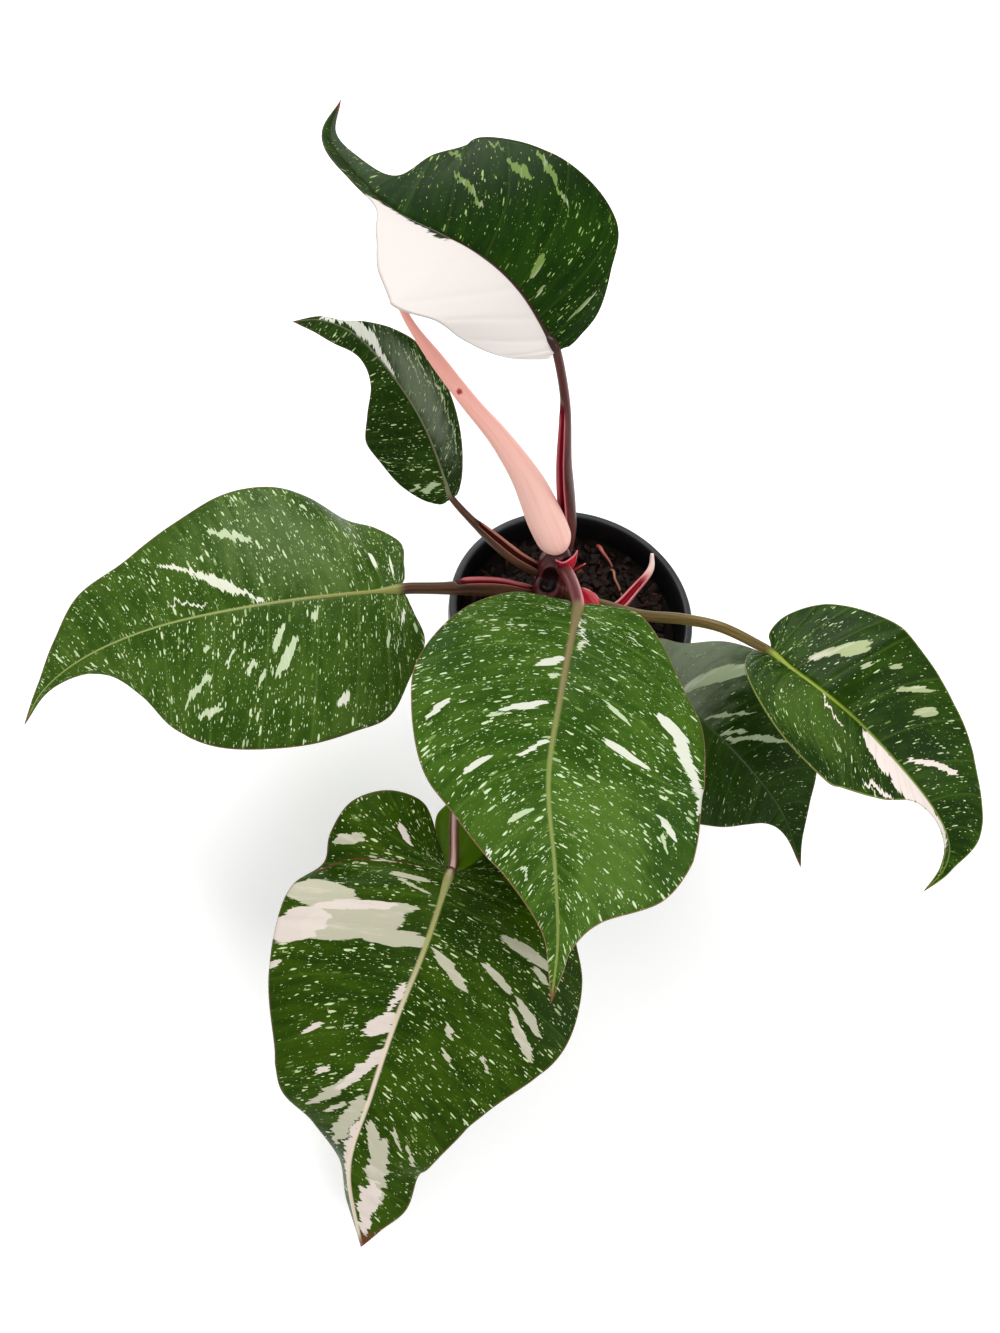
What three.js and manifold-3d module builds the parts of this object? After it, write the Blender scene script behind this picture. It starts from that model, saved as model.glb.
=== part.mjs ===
// A potted philodendron with marbled leaves, in a round nursery pot.
// Millimetres, +Z up. The origin is the middle of the pot's flat base.
import * as THREE from 'three';
import { mergeVertices } from 'three/addons/utils/BufferGeometryUtils.js';
import Module from 'manifold-3d';

const wasm = await Module();
wasm.setup();

// Pot: a tapered wall with a turned-over rim
const potHeight = 95;
const rimRadius = 60;
const rimWidth = 4;
const rimDrop = 9;
const baseRadius = 42;
const wall = 1.5;
const floor = 2;
const potSides = 48;
const drainHoles = 6;
const drainRadius = 3.5;
const drainCircle = 27;

// Potting mix, with a lumpy top
const soilTop = 83;
const soilLump = 0.6;

// Pieces that touch keep this clearance
const gap = 0.35;

// Stem: short, wrapped in old leaf sheaths, and standing in the mix
const stemPlace = { x: -13.5, y: 7 };
const stemFoot = 70;
const stemTop = 129;
const stemRadius = 8;
const stemSides = 20;

// Leaves
const bladeThickness = 0.8;
const veinSweep = 0.3;
const veinBow = 0.55;
const camber = 0.04;
const bladeSteps = 2;
const bladeColumns = [0, 0.3, 0.6, 0.85, 1];
const stalkSides = 10;
const sheathedSides = 14;
const ringSpacing = 9;
const neckLength = 5;

// Colours
const colours = {
  pot: 0x232426,
  mix: 0x2a1a12,
  stem: 0x4a1c1e,
  darkLeaf: 0x1f3f0c,
  midLeaf: 0x3f661f,
  maroonStalk: 0x46231f,
  oliveStalk: 0x5b4a2c,
  pinkStalk: 0x8a4650,
  newLeaf: 0xf2cdbf,
  crimson: 0xb23a55,
};

// A leaf's midrib is a line of points from the stalk to the tip, and facing is the way its upper
// face looks, from base to tip. Each row of veins is a pair of main veins: how far along the midrib
// they start, then how far along, out and up the right one meets the margin, and the same for the
// left one. The stalk is a line of points that starts in the stem, with its radius along it. Where
// it has a sheath, that is an open channel between two shares of its length, and opens that way.
const leaves = [
  {
    name: 'top',
    colour: colours.darkLeaf,
    midrib: [
      [-34, 21, 231], [-53, 35, 243], [-74, 45, 248], [-103, 56, 247],
      [-126, 76, 244], [-143, 95, 245], [-144, 115, 249],
    ],
    facing: [[0.1, -0.2, 1], [0, -0.1, 1], [0, 0, 1]],
    veins: [
      [0, -1, 5, 1, -1, 5, 1],
      [0, 0, 10, 3, 1, 11, 3],
      [1, 4, 20, 6, 8, 26, 8],
      [5, 15, 32, 10, 20, 37, 11],
      [14, 25, 44, 13, 33, 43, 14],
      [27, 42, 47, 14, 50, 50, 14],
      [44, 60, 44, 13, 66, 38, 10],
      [62, 80, 38, 11, 78, 19, 5],
      [82, 96, 27, 8, 90, 6, 2],
      [103, 101, 11, 3, 110, 4, 1],
      [130, 127, 5, 1, 132, 4, 1],
      [159, 159, 0, 0, 159, 0, 0],
    ],
    stalk: [
      [-10, 13, 102], [-10, 18, 113], [-11, 21, 127], [-14.5, 21.5, 144], [-20.5, 20, 173],
      [-26, 23, 203],
    ],
    stalkRadius: [3.2, 3.6, 3.6, 2.8, 2, 1.8],
    stalkColour: colours.maroonStalk,
    sheath: { from: 0.04, to: 0.75, opens: [-0.8, -0.5, 0.3] },
  },
  {
    name: 'upper_left',
    colour: colours.darkLeaf,
    midrib: [
      [-68, 24, 127], [-86, 47, 142], [-104, 63, 152], [-128, 83, 155], [-149, 94, 150],
      [-167, 98, 141],
    ],
    facing: [[-0.45, -0.45, 0.75], [-0.25, -0.35, 0.85]],
    veins: [
      [0, 0, 4, 2, -1, 4, 0],
      [0, 2, 7, 4, 0, 8, 0],
      [2, 8, 12, 7, 6, 16, 0],
      [8, 20, 17, 9, 17, 24, 0],
      [18, 33, 20, 11, 31, 28, 0],
      [32, 48, 21, 12, 45, 29, 0],
      [48, 64, 19, 10, 57, 21, 0],
      [64, 77, 14, 8, 68, 11, 0],
      [82, 90, 8, 4, 82, 7, 0],
      [100, 103, 3, 1, 102, 9, 0],
      [118, 118, 2, 0, 120, 6, 0],
      [135, 135, 0, 0, 135, 0, 0],
    ],
    stalk: [[-16, 7, 105], [-21.5, 5.5, 111.5], [-34.5, 6, 118], [-53.5, 15.5, 122]],
    stalkRadius: [2.6, 3.1, 3.1, 2, 1.6],
    stalkColour: colours.maroonStalk,
    sheath: { from: 0.04, to: 0.68, opens: [0.3, 0.1, 1] },
  },
  {
    name: 'left',
    colour: colours.midLeaf,
    midrib: [
      [-80, -23, 113], [-111, -36, 114], [-144, -50, 112], [-180, -66, 105], [-207, -83, 96],
      [-222, -100, 88], [-228, -115, 78],
    ],
    facing: [[0, -0.1, 1], [0, -0.1, 1]],
    veins: [
      [0, -2, 5, 0, -2, 5, 0],
      [0, -3, 14, 0, -4, 12, -2],
      [0, -4, 28, -6, -7, 26, -4],
      [2, 6, 42, -14, 2, 42, -6],
      [8, 20, 48, -14, 13, 58, -9],
      [20, 37, 56, -4, 30, 63, -10],
      [38, 54, 59, 3, 50, 66, -10],
      [60, 76, 58, 3, 74, 64, -10],
      [84, 97, 48, 3, 96, 58, -9],
      [108, 118, 36, 2, 115, 46, -7],
      [130, 138, 29, 1, 126, 28, -4],
      [150, 152, 15, 1, 139, 12, -2],
      [168, 168, 4, 0, 158, 4, 0],
      [186, 186, 0, 0, 186, 0, 0],
    ],
    stalk: [[-15.5, 3, 95.5], [-25, -3, 103], [-36.5, -7, 108], [-50, -12, 110.5], [-61, -16.5, 112]],
    stalkRadius: [3, 3.8, 4, 2.9, 2.65],
    stalkColour: colours.oliveStalk,
    sheath: { from: 0.04, to: 0.68, opens: [0, 0.5, 0.9] },
  },
  {
    name: 'front',
    colour: colours.midLeaf,
    midrib: [
      [-1, -28, 140], [-1, -73, 140], [1, -109, 134], [11, -141, 123], [18, -165, 112],
      [21, -186, 100],
    ],
    facing: [[0, -0.2, 1], [0, -0.2, 1]],
    veins: [
      [0, -1, 5, 0, -2, 5, 0],
      [0, 0, 14, 0, -3, 15, 0],
      [0, 1, 28, 0, -2, 27, 0],
      [3, 11, 43, 0, 9, 38, 0],
      [10, 26, 54, 0, 28, 49, 0],
      [22, 45, 61, 0, 48, 60, 0],
      [38, 62, 59, 0, 70, 63, 0],
      [56, 80, 51, 0, 92, 62, 0],
      [74, 93, 38, 0, 114, 57, 0],
      [94, 110, 26, 0, 131, 43, 0],
      [114, 127, 14, 0, 138, 17, 0],
      [134, 142, 6, 0, 147, 6, 0],
      [152, 155, 3, 0, 157, 3, 0],
      [169, 169, 0, 0, 169, 0, 0],
    ],
    stalk: [[-11, 6, 114], [-8.5, 4, 124], [-4.5, -9, 133.5]],
    stalkRadius: [3.2, 3, 2.7],
    stalkColour: colours.pinkStalk,
  },
  {
    name: 'bottom',
    colour: colours.darkLeaf,
    midrib: [
      [-29, -139, 84], [-32, -170, 78], [-37, -200, 68], [-40, -228, 54], [-42, -255, 37],
      [-30, -281, 18],
    ],
    facing: [[0, -0.3, 1], [0, -0.3, 1]],
    veins: [
      [0, -3, 4, 0, -3, 3, -2],
      [0, -14, 11, 0, -12, 4, -4],
      [0, -25, 21, 0, -29, -2, -7],
      [0, -25, 37, 0, -37, 16, -8],
      [0, -15, 50, 2, -28, 38, -5],
      [0, 0, 54, 0, -8, 53, -1],
      [3, 12, 53, -6, 10, 59, 0],
      [12, 27, 61, 2, 26, 67, 0],
      [28, 46, 61, 2, 45, 69, 0],
      [48, 66, 55, 0, 65, 62, 0],
      [68, 88, 44, 0, 86, 48, 0],
      [90, 106, 36, 0, 106, 36, 0],
      [110, 116, 19, -6, 132, 29, 0],
      [128, 130, 5, -12, 150, 22, 0],
      [145, 146, 3, -8, 157, 9, 0],
      [162, 162, 0, 0, 162, 0, 0],
    ],
    stalk: [[-14, 0, 85.5], [-17, -18, 105], [-22, -52, 117], [-29, -90, 114], [-33, -114, 103]],
    stalkRadius: [2.5, 2.4, 2.3, 2.2, 2.1],
    stalkColour: colours.pinkStalk,
  },
  {
    name: 'right',
    colour: colours.darkLeaf,
    midrib: [
      [84, -32, 143], [105, -54, 155], [125, -66, 152], [152, -83, 142], [168, -92, 128],
      [172, -100, 117], [167, -109, 108],
    ],
    facing: [[0, -0.1, 1], [0.1, -0.1, 1], [0, -0.3, 1]],
    veins: [
      [0, 0, 4, 2, -3, 4, 0],
      [0, -1, 9, 6, -8, 7, 2],
      [0, 5, 18, 12, -9, 17, 5],
      [1, 15, 27, 16, -3, 29, 8],
      [5, 27, 34, 17, 8, 37, 10],
      [14, 38, 38, 15, 24, 42, 10],
      [28, 50, 38, 13, 42, 41, 10],
      [44, 62, 31, 10, 60, 38, 8],
      [60, 74, 21, 7, 77, 33, 7],
      [76, 85, 8, 3, 93, 26, 5],
      [92, 97, 3, 1, 107, 21, 3],
      [108, 110, 3, 1, 117, 14, 2],
      [124, 126, 2, 0, 126, 4, 0],
      [141, 141, 0, 0, 141, 0, 0],
    ],
    stalk: [[-8, 4, 98], [11, -6.5, 113], [29, -14.5, 123.5], [46, -18, 133], [62, -23.5, 141.5]],
    stalkRadius: [2.8, 2.7, 2.6, 2.4, 2.1],
    stalkColour: colours.oliveStalk,
  },
  {
    name: 'lower_right',
    colour: colours.darkLeaf,
    midrib: [[40, -37, 103], [68, -47, 99], [96, -60, 87], [118, -71, 71], [134, -87, 53]],
    facing: [[0, -0.1, 1], [0.2, -0.2, 1]],
    veins: [
      [0, -3, 5, 0, -3, 5, 0],
      [0, -6, 10, 0, -6, 10, 0],
      [0, -8, 24, 0, -8, 22, 0],
      [2, 2, 36, 0, 6, 29, 0],
      [10, 18, 44, 0, 22, 42, 0],
      [22, 36, 46, 0, 42, 51, 0],
      [38, 54, 41, 0, 60, 52, 0],
      [55, 67, 32, 0, 76, 43, 0],
      [72, 79, 20, 0, 89, 29, 0],
      [88, 90, 10, 0, 97, 16, 0],
      [104, 104, 3, 0, 108, 6, 0],
      [122, 122, 0, 0, 122, 0, 0],
    ],
    stalk: [[-8, 3, 90], [7, -13, 102], [24, -26, 108]],
    stalkRadius: [2.5, 2.4, 2.2],
    stalkColour: colours.oliveStalk,
  },
];

// The new leaf is still rolled up. It runs from its tip to a blunt foot that sits in the stem's top.
const rolledLeaf = {
  path: [
    [-108, 50, 229], [-105, 48, 221], [-96, 42.5, 209], [-82.5, 38, 196], [-66.5, 32, 183],
    [-50, 27, 170], [-35, 20.5, 156], [-24.5, 13, 142], [-14.5, 7, 127.5],
  ],
  radius: [0.7, 1.4, 2.1, 3.2, 3.6, 4, 4.9, 6.2, 7.7, 8.4, 8],
  tail: 7,
};

// The side shoot's scale leaf dips towards the mix and turns up to its tip
const sideShoot = {
  path: [
    [-6, 9.5, 95], [4, 6.5, 99], [9.7, 4.3, 97], [16.6, 4, 93], [22.6, 9.4, 92], [28, 18.7, 94],
    [34, 29.5, 99.5], [33, 36, 105],
  ],
  radius: [2.2, 2.7, 2.8, 2.7, 2.6, 2.2, 1.8, 0.8],
  sheath: { from: 0.08, to: 0.84, opens: [0.2, 0.1, 1] },
};

// A point on a line through evenly numbered rows of values, at u from 0 to 1
function alongRows(rows, u) {
  const last = rows.length - 1;
  const at = THREE.MathUtils.clamp(u, 0, 1) * last;
  const i = Math.min(Math.floor(at), last - 1);
  const w = at - i;
  return rows[i].map((p1, k) => {
    const p2 = rows[i + 1][k];
    const p0 = i > 0 ? rows[i - 1][k] : 2 * p1 - p2;
    const p3 = i + 2 <= last ? rows[i + 2][k] : 2 * p2 - p1;
    const v0 = (p2 - p0) / 2;
    const v1 = (p3 - p1) / 2;
    return (2 * p1 - 2 * p2 + v0 + v1) * w ** 3 + (3 * p2 - 3 * p1 - 2 * v0 - v1) * w ** 2 + v0 * w + p1;
  });
}

function smoothLine(points) {
  const curve = new THREE.CatmullRomCurve3(points.map((p) => new THREE.Vector3(...p)), false, 'catmullrom');
  curve.arcLengthDivisions = 400;
  return curve;
}

// The frame of a line at the share s of its length: a place, its direction, and right and up across it
function frameAt(curve, s, facing) {
  const place = curve.getPointAt(s);
  const forward = curve.getTangentAt(s);
  const look = facing.length > 1
    ? facing.map((f) => new THREE.Vector3(...f).normalize().toArray())
    : [facing[0], facing[0]];
  const at = s * (look.length - 1);
  const i = Math.min(Math.floor(at), look.length - 2);
  const up = new THREE.Vector3(...look[i]).lerp(new THREE.Vector3(...look[i + 1]), at - i);
  up.addScaledVector(forward, -up.dot(forward)).normalize();
  const right = new THREE.Vector3().crossVectors(forward, up);
  return { place, forward, right, up };
}

function geometryFrom(vertices, triangles) {
  const geometry = new THREE.BufferGeometry();
  geometry.setAttribute('position', new THREE.Float32BufferAttribute(vertices.flat(), 3));
  geometry.setIndex(triangles.flat());
  return geometry;
}

// Leaves only shared vertices and real triangles, and turns them outward
function closedGeometry(source) {
  const merged = source.clone();
  merged.deleteAttribute('normal');
  merged.deleteAttribute('uv');
  const geometry = mergeVertices(merged, 1e-4);
  const position = geometry.attributes.position;
  const corner = (k) => new THREE.Vector3().fromBufferAttribute(position, k);
  const triangles = [];
  let volume = 0;
  for (let i = 0; i < geometry.index.count; i += 3) {
    const [a, b, c] = [0, 1, 2].map((k) => geometry.index.getX(i + k));
    if (a !== b && b !== c && a !== c) {
      triangles.push([a, b, c]);
      volume += corner(a).dot(corner(b).cross(corner(c)));
    }
  }
  if (volume < 0) triangles.forEach((t) => t.reverse());
  geometry.setIndex(triangles.flat());
  return geometry;
}

function toSolid(source) {
  const geometry = closedGeometry(source);
  return new wasm.Manifold(new wasm.Mesh({
    numProp: 3,
    vertProperties: new Float32Array(geometry.attributes.position.array),
    triVerts: new Uint32Array(geometry.index.array),
  }));
}

// The largest body of a cut solid, as a geometry: a loose scrap is dropped
function toGeometry(solid) {
  const bodies = solid.decompose().sort((a, b) => b.volume() - a.volume());
  const mesh = bodies[0].getMesh();
  const geometry = new THREE.BufferGeometry();
  geometry.setAttribute('position', new THREE.BufferAttribute(mesh.vertProperties, 3));
  geometry.setIndex(new THREE.BufferAttribute(mesh.triVerts, 1));
  return geometry;
}

function addPiece(name, geometry, color, roughness = 0.5) {
  const mesh = new THREE.Mesh(closedGeometry(geometry), new THREE.MeshStandardMaterial({ color, roughness }));
  mesh.name = name;
  group.add(mesh);
}

// A solid swept along a line, with the outline section(s) at each ring and a fan at each end, both
// ends carried on by extend. It closes over its last length of tail in a rounded end.
function sweep(path, facing, section, { tail = 0, extend = 0 } = {}) {
  const curve = smoothLine(path);
  const length = curve.getLength();
  const body = 1 - tail / length;
  const steps = Math.max(6, Math.round(length / ringSpacing));
  const stations = Array.from({ length: steps + 1 }, (_, i) => [(body * i) / steps, 1]);
  if (tail > 0) {
    [0.45, 0.8, 1].forEach((t) => stations.push([body + (1 - body) * t, Math.max(Math.sqrt(1 - t * t), 0.2)]));
  }
  const rings = stations.length - 1;
  const vertices = [];
  const triangles = [];
  const ends = [];
  let sides = 0;
  for (let i = 0; i <= rings; i += 1) {
    const [share, scale] = stations[i];
    const { place, forward, right, up } = frameAt(curve, share, facing);
    if (i === 0) place.addScaledVector(forward, -extend);
    if (i === rings) place.addScaledVector(forward, extend);
    if (i === 0 || i === rings) ends.push(place.toArray());
    const outline = section(share, scale);
    sides = outline.length;
    outline.forEach(([x, y]) => {
      vertices.push(place.clone().addScaledVector(right, x).addScaledVector(up, y).toArray());
    });
  }
  for (let i = 0; i < rings; i += 1) {
    for (let k = 0; k < sides; k += 1) {
      const next = (k + 1) % sides;
      const [a, b] = [i * sides + k, i * sides + next];
      triangles.push([a, a + sides, b], [b, a + sides, b + sides]);
    }
  }
  [0, rings].forEach((ring, end) => {
    const middle = vertices.length;
    vertices.push(ends[end]);
    for (let k = 0; k < sides; k += 1) {
      const edge = [ring * sides + k, ring * sides + ((k + 1) % sides)];
      triangles.push(ring === 0 ? [middle, ...edge] : [middle, ...edge.reverse()]);
    }
  });
  return geometryFrom(vertices, triangles);
}

function roundSection(radius) {
  return Array.from({ length: stalkSides }, (_, k) => {
    const angle = (2 * Math.PI * k) / stalkSides;
    return [radius * Math.cos(angle), radius * Math.sin(angle)];
  });
}

// A round outline that grows raised lips as open goes from 0 to 1, with a channel of its own depth
function channelSection(radius, open, depth) {
  const lipAngle = 0.6;
  const lipRise = 0.25;
  const inside = [[-0.55, 0.35], [-0.35, -0.15], [0, -0.3], [0.35, -0.15], [0.55, 0.35]];
  const outerCount = sheathedSides - inside.length;
  const outline = [];
  for (let k = 0; k < outerCount; k += 1) {
    const share = k / (outerCount - 1);
    const angle = lipAngle + (2 * Math.PI - 2 * lipAngle) * share;
    const lip = 1 + open * lipRise * Math.abs(2 * share - 1) ** 3;
    outline.push([radius * lip * Math.sin(angle), radius * lip * Math.cos(angle)]);
  }
  inside.forEach(([x, y], k) => {
    const angle = lipAngle * (2 * ((k + 1) / (inside.length + 1)) - 1);
    const round = [Math.sin(angle), Math.cos(angle)];
    outline.push([
      radius * THREE.MathUtils.lerp(round[0], x, depth),
      radius * THREE.MathUtils.lerp(round[1], y, depth),
    ]);
  });
  return outline;
}

// A stalk or shoot of changing radius, or with a clearance the space to leave for it
function rodGeometry({ path, radius, sheath, tail }, clearance = 0) {
  const fade = 0.1;
  const radii = radius.map((r) => [r]);
  const section = (s, scale) => {
    const size = alongRows(radii, s)[0] * scale + clearance;
    if (!sheath) return roundSection(size);
    const opening = THREE.MathUtils.smoothstep(s, sheath.from, sheath.from + fade);
    const closing = THREE.MathUtils.smoothstep(s, sheath.to - fade, sheath.to);
    const open = opening * (1 - closing);
    return channelSection(size, open, clearance > 0 ? 0 : open);
  };
  return sweep(path, [sheath ? sheath.opens : [0, 0, 1]], section, { tail, extend: clearance });
}

// A leaf stalk runs from the stem to a rounded end that its blade fits round, in line with the midrib
function leafStalk(leaf) {
  const midrib = smoothLine(leaf.midrib);
  const start = midrib.getPointAt(0);
  const forward = midrib.getTangentAt(0);
  const tail = leaf.stalkRadius.at(-1);
  const neck = [-neckLength, tail].map((along) => start.clone().addScaledVector(forward, along).toArray());
  return { path: [...leaf.stalk, ...neck], radius: leaf.stalkRadius, sheath: leaf.sheath, tail };
}

// Where a vein starts, along, out and up: on the midrib, or on the notch that fits round the stalk
function veinStart(start, along, out, notch) {
  if (start >= notch) return [start, 0, 0];
  const angle = Math.atan2(out, along - start) * (1 - Math.max(start, 0) / notch);
  const [a, b] = [notch * Math.cos(angle), notch * Math.sin(angle)];
  const under = a < 0 ? -Math.sqrt(notch * notch - b * b) * (1 + bladeThickness / 2 / notch) : 0;
  return [a, b, under];
}

// A point of the blade's middle surface: v goes from the midrib to the margin along one vein
function bladePoint(curve, length, leaf, row, side, v) {
  const [start, along, out, rise] = side > 0 ? row.slice(0, 4) : [row[0], ...row.slice(4)];
  const notch = leaf.stalkRadius.at(-1) + 2 * gap;
  const [a0, b0, h0] = veinStart(start, along, out, notch);
  const [a1, b1] = [a0 + veinSweep * (along - a0), b0 + veinBow * (out - b0)];
  const [w0, w1, w2] = [(1 - v) ** 2, 2 * v * (1 - v), v * v];
  const a = w0 * a0 + w1 * a1 + w2 * along;
  const b = w0 * b0 + w1 * b1 + w2 * out;
  const h = w0 * h0 + rise * v + camber * out * 4 * v * (1 - v);
  const share = THREE.MathUtils.clamp(a / length, 0, 1);
  const { place, forward, right, up } = frameAt(curve, share, leaf.facing);
  return place
    .addScaledVector(forward, a - share * length)
    .addScaledVector(right, side * b)
    .addScaledVector(up, h);
}

// A leaf blade is one thin waved sheet with both faces split into the same triangles
function bladeGeometry(leaf) {
  const curve = smoothLine(leaf.midrib);
  const length = curve.getLength();
  const steps = (leaf.veins.length - 1) * bladeSteps;
  const columns = bladeColumns.length - 1;
  const notch = leaf.stalkRadius.at(-1) + 2 * gap;
  const points = [];
  const grids = {};
  [1, -1].forEach((side) => {
    grids[side] = [];
    for (let i = 0; i <= steps; i += 1) {
      const row = alongRows(leaf.veins, i / steps);
      const line = [];
      for (let j = 0; j <= columns; j += 1) {
        if (j === 0 && side < 0 && row[0] >= notch) {
          line.push(grids[1][i][0]);
        } else if (j > 0 && i === steps) {
          line.push(line[0]);
        } else {
          points.push(bladePoint(curve, length, leaf, row, side, bladeColumns[j]));
          line.push(points.length - 1);
        }
      }
      grids[side].push(line);
    }
  });
  const sheet = [];
  const addTriangle = (a, b, c) => {
    if (a !== b && b !== c && a !== c) sheet.push([a, b, c]);
  };
  [1, -1].forEach((side) => {
    for (let i = 0; i < steps; i += 1) {
      for (let j = 0; j < columns; j += 1) {
        const [a, b] = [grids[side][i][j], grids[side][i][j + 1]];
        const [c, d] = [grids[side][i + 1][j], grids[side][i + 1][j + 1]];
        if (side > 0) {
          addTriangle(a, b, d);
          addTriangle(a, d, c);
        } else {
          addTriangle(a, d, b);
          addTriangle(a, c, d);
        }
      }
    }
  });
  const normals = points.map(() => new THREE.Vector3());
  sheet.forEach(([a, b, c]) => {
    const ab = points[b].clone().sub(points[a]);
    const ac = points[c].clone().sub(points[a]);
    const cross = ab.cross(ac);
    [a, b, c].forEach((k) => normals[k].add(cross));
  });
  const vertices = [];
  [0.5, -0.5].forEach((half) => {
    points.forEach((p, k) => {
      vertices.push(p.clone().addScaledVector(normals[k].normalize(), half * bladeThickness).toArray());
    });
  });
  const under = points.length;
  const triangles = [];
  const edges = new Map();
  sheet.forEach(([a, b, c]) => {
    triangles.push([a, b, c], [a + under, c + under, b + under]);
    [[a, b], [b, c], [c, a]].forEach(([p, q]) => {
      if (edges.has(`${q},${p}`)) edges.delete(`${q},${p}`);
      else edges.set(`${p},${q}`, [p, q]);
    });
  });
  edges.forEach(([p, q]) => triangles.push([q, p, p + under], [q, p + under, q + under]));
  return geometryFrom(vertices, triangles);
}

function innerRadius(z) {
  const foot = baseRadius - wall;
  return foot + ((rimRadius - rimWidth - foot) * z) / potHeight;
}

function potGeometry() {
  const lip = potHeight - wall;
  const profile = [
    [0, 0], [baseRadius - 1.5, 0], [baseRadius, 1.5],
    [innerRadius(lip) + wall, lip], [rimRadius - wall, lip],
    [rimRadius - wall, potHeight - rimDrop], [rimRadius, potHeight - rimDrop],
    [rimRadius, potHeight - 1.2], [rimRadius - 0.8, potHeight],
    [rimRadius - rimWidth + 0.6, potHeight], [innerRadius(potHeight - 1), potHeight - 1],
    [innerRadius(floor + 1), floor + 1], [innerRadius(floor) - 1, floor], [0, floor],
  ].map(([r, z]) => new THREE.Vector2(r, z));
  const body = new THREE.LatheGeometry(profile, potSides);
  body.rotateX(Math.PI / 2);
  let pot = toSolid(body);
  for (let k = 0; k < drainHoles; k += 1) {
    const angle = (2 * Math.PI * (k + 0.5)) / drainHoles;
    const drill = new THREE.CylinderGeometry(drainRadius, drainRadius, 4 * floor, 16);
    drill.rotateX(Math.PI / 2);
    drill.translate(drainCircle * Math.cos(angle), drainCircle * Math.sin(angle), floor);
    pot = pot.subtract(toSolid(drill));
  }
  return toGeometry(pot);
}

function stemProfile(clearance) {
  return [
    [0, stemFoot - clearance], [4, stemFoot - clearance], [6.5, stemFoot + 4], [stemRadius, soilTop],
    [stemRadius + 0.5, 112], [stemRadius, 120], [6, 126], [4, stemTop - 0.8], [0, stemTop],
  ].map(([r, z]) => new THREE.Vector2(r > 0 ? r + clearance : 0, z));
}

function stemCore(clearance = 0) {
  const core = new THREE.LatheGeometry(stemProfile(clearance), stemSides);
  core.rotateX(Math.PI / 2);
  core.translate(stemPlace.x, stemPlace.y, 0);
  return toSolid(core);
}

function ovalSolid(place, size) {
  const oval = new THREE.SphereGeometry(1, 16, 10);
  oval.scale(...size);
  oval.translate(...place);
  return toSolid(oval);
}

// The oldest sheath swells at the front of the stem and stands open at its top
const sheathSwell = ovalSolid([-14, 0, 102], [8.5, 7.5, 14]);
const sheathHollow = ovalSolid([-15, -2.5, 117], [5, 4, 8.5]);

function stemGeometry() {
  let stem = stemCore().add(sheathSwell).subtract(sheathHollow);
  [...leaves.map(leafStalk), rolledLeaf, sideShoot].forEach((rod) => {
    stem = stem.subtract(toSolid(rodGeometry(rod, gap)));
  });
  return toGeometry(stem);
}

function soilGeometry() {
  const radius = (z) => innerRadius(z) - gap;
  const bottom = floor + gap;
  const rings = [0.9, 0.7, 0.5, 0.35, 0];
  const profile = [
    [0, bottom], [radius(bottom) - 2, bottom], [radius(bottom + 2), bottom + 2],
    [radius(soilTop - 2), soilTop - 2], ...rings.map((share) => [radius(soilTop) * share, soilTop]),
  ].map(([r, z]) => new THREE.Vector2(r, z));
  const body = new THREE.LatheGeometry(profile, potSides);
  body.rotateX(Math.PI / 2);
  const position = body.attributes.position;
  for (let i = 0; i < position.count; i += 1) {
    if (position.getZ(i) > soilTop - 0.5) {
      const [x, y] = [position.getX(i), position.getY(i)];
      const lump = Math.sin(0.31 * x + 1.3) * Math.sin(0.27 * y) + 0.5 * Math.sin(0.6 * x - 0.4 * y);
      position.setZ(i, soilTop + soilLump * lump);
    }
  }
  return toGeometry(toSolid(body).subtract(stemCore(gap)).subtract(ovalSolid([-14, 0, 102], [9, 8, 14.5])));
}

const group = new THREE.Group();

addPiece('pot', potGeometry(), colours.pot, 0.45);
addPiece('potting_mix', soilGeometry(), colours.mix, 0.95);
addPiece('stem', stemGeometry(), colours.stem);
leaves.forEach((leaf) => {
  addPiece(`stalk_${leaf.name}`, rodGeometry(leafStalk(leaf)), leaf.stalkColour);
  addPiece(`leaf_${leaf.name}`, bladeGeometry(leaf), leaf.colour, 0.4);
});
addPiece('rolled_new_leaf', rodGeometry(rolledLeaf), colours.newLeaf, 0.4);
addPiece('side_shoot', rodGeometry(sideShoot), colours.crimson);

export default group;
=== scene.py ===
import math
import random

import bmesh
import bpy
from mathutils import Matrix, Vector, noise


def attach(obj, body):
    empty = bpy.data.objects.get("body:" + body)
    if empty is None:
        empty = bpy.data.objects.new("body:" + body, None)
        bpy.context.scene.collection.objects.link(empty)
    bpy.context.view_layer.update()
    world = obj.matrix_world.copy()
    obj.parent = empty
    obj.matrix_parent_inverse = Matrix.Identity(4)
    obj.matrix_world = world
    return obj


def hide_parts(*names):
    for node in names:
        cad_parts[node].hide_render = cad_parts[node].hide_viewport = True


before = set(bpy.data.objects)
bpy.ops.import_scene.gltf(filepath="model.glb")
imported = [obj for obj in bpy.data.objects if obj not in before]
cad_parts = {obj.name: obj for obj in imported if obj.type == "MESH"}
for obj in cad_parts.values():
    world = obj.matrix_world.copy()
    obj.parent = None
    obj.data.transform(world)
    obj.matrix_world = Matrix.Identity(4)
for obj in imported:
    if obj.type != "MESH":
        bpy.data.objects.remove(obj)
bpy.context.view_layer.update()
print("frame loaded")

# camera, light and floor

view = {
    "place": (-0.028, -0.2731, 0.4995),
    "right": (0.974, 0.195, 0.112),
    "up": (-0.225, 0.845, 0.485),
    "lens": 27.0,  # on a 36 mm tall sensor
}
light = {
    "sky": 0.72,
    "keyPower": 11.0,
    "keyPlace": (-0.5, 0.75, 1.1),
    "keySize": 0.8,
    "fillPower": 4.5,
    "fillPlace": (0.7, -0.5, 1.0),
    "fillSize": 0.9,
}


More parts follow.
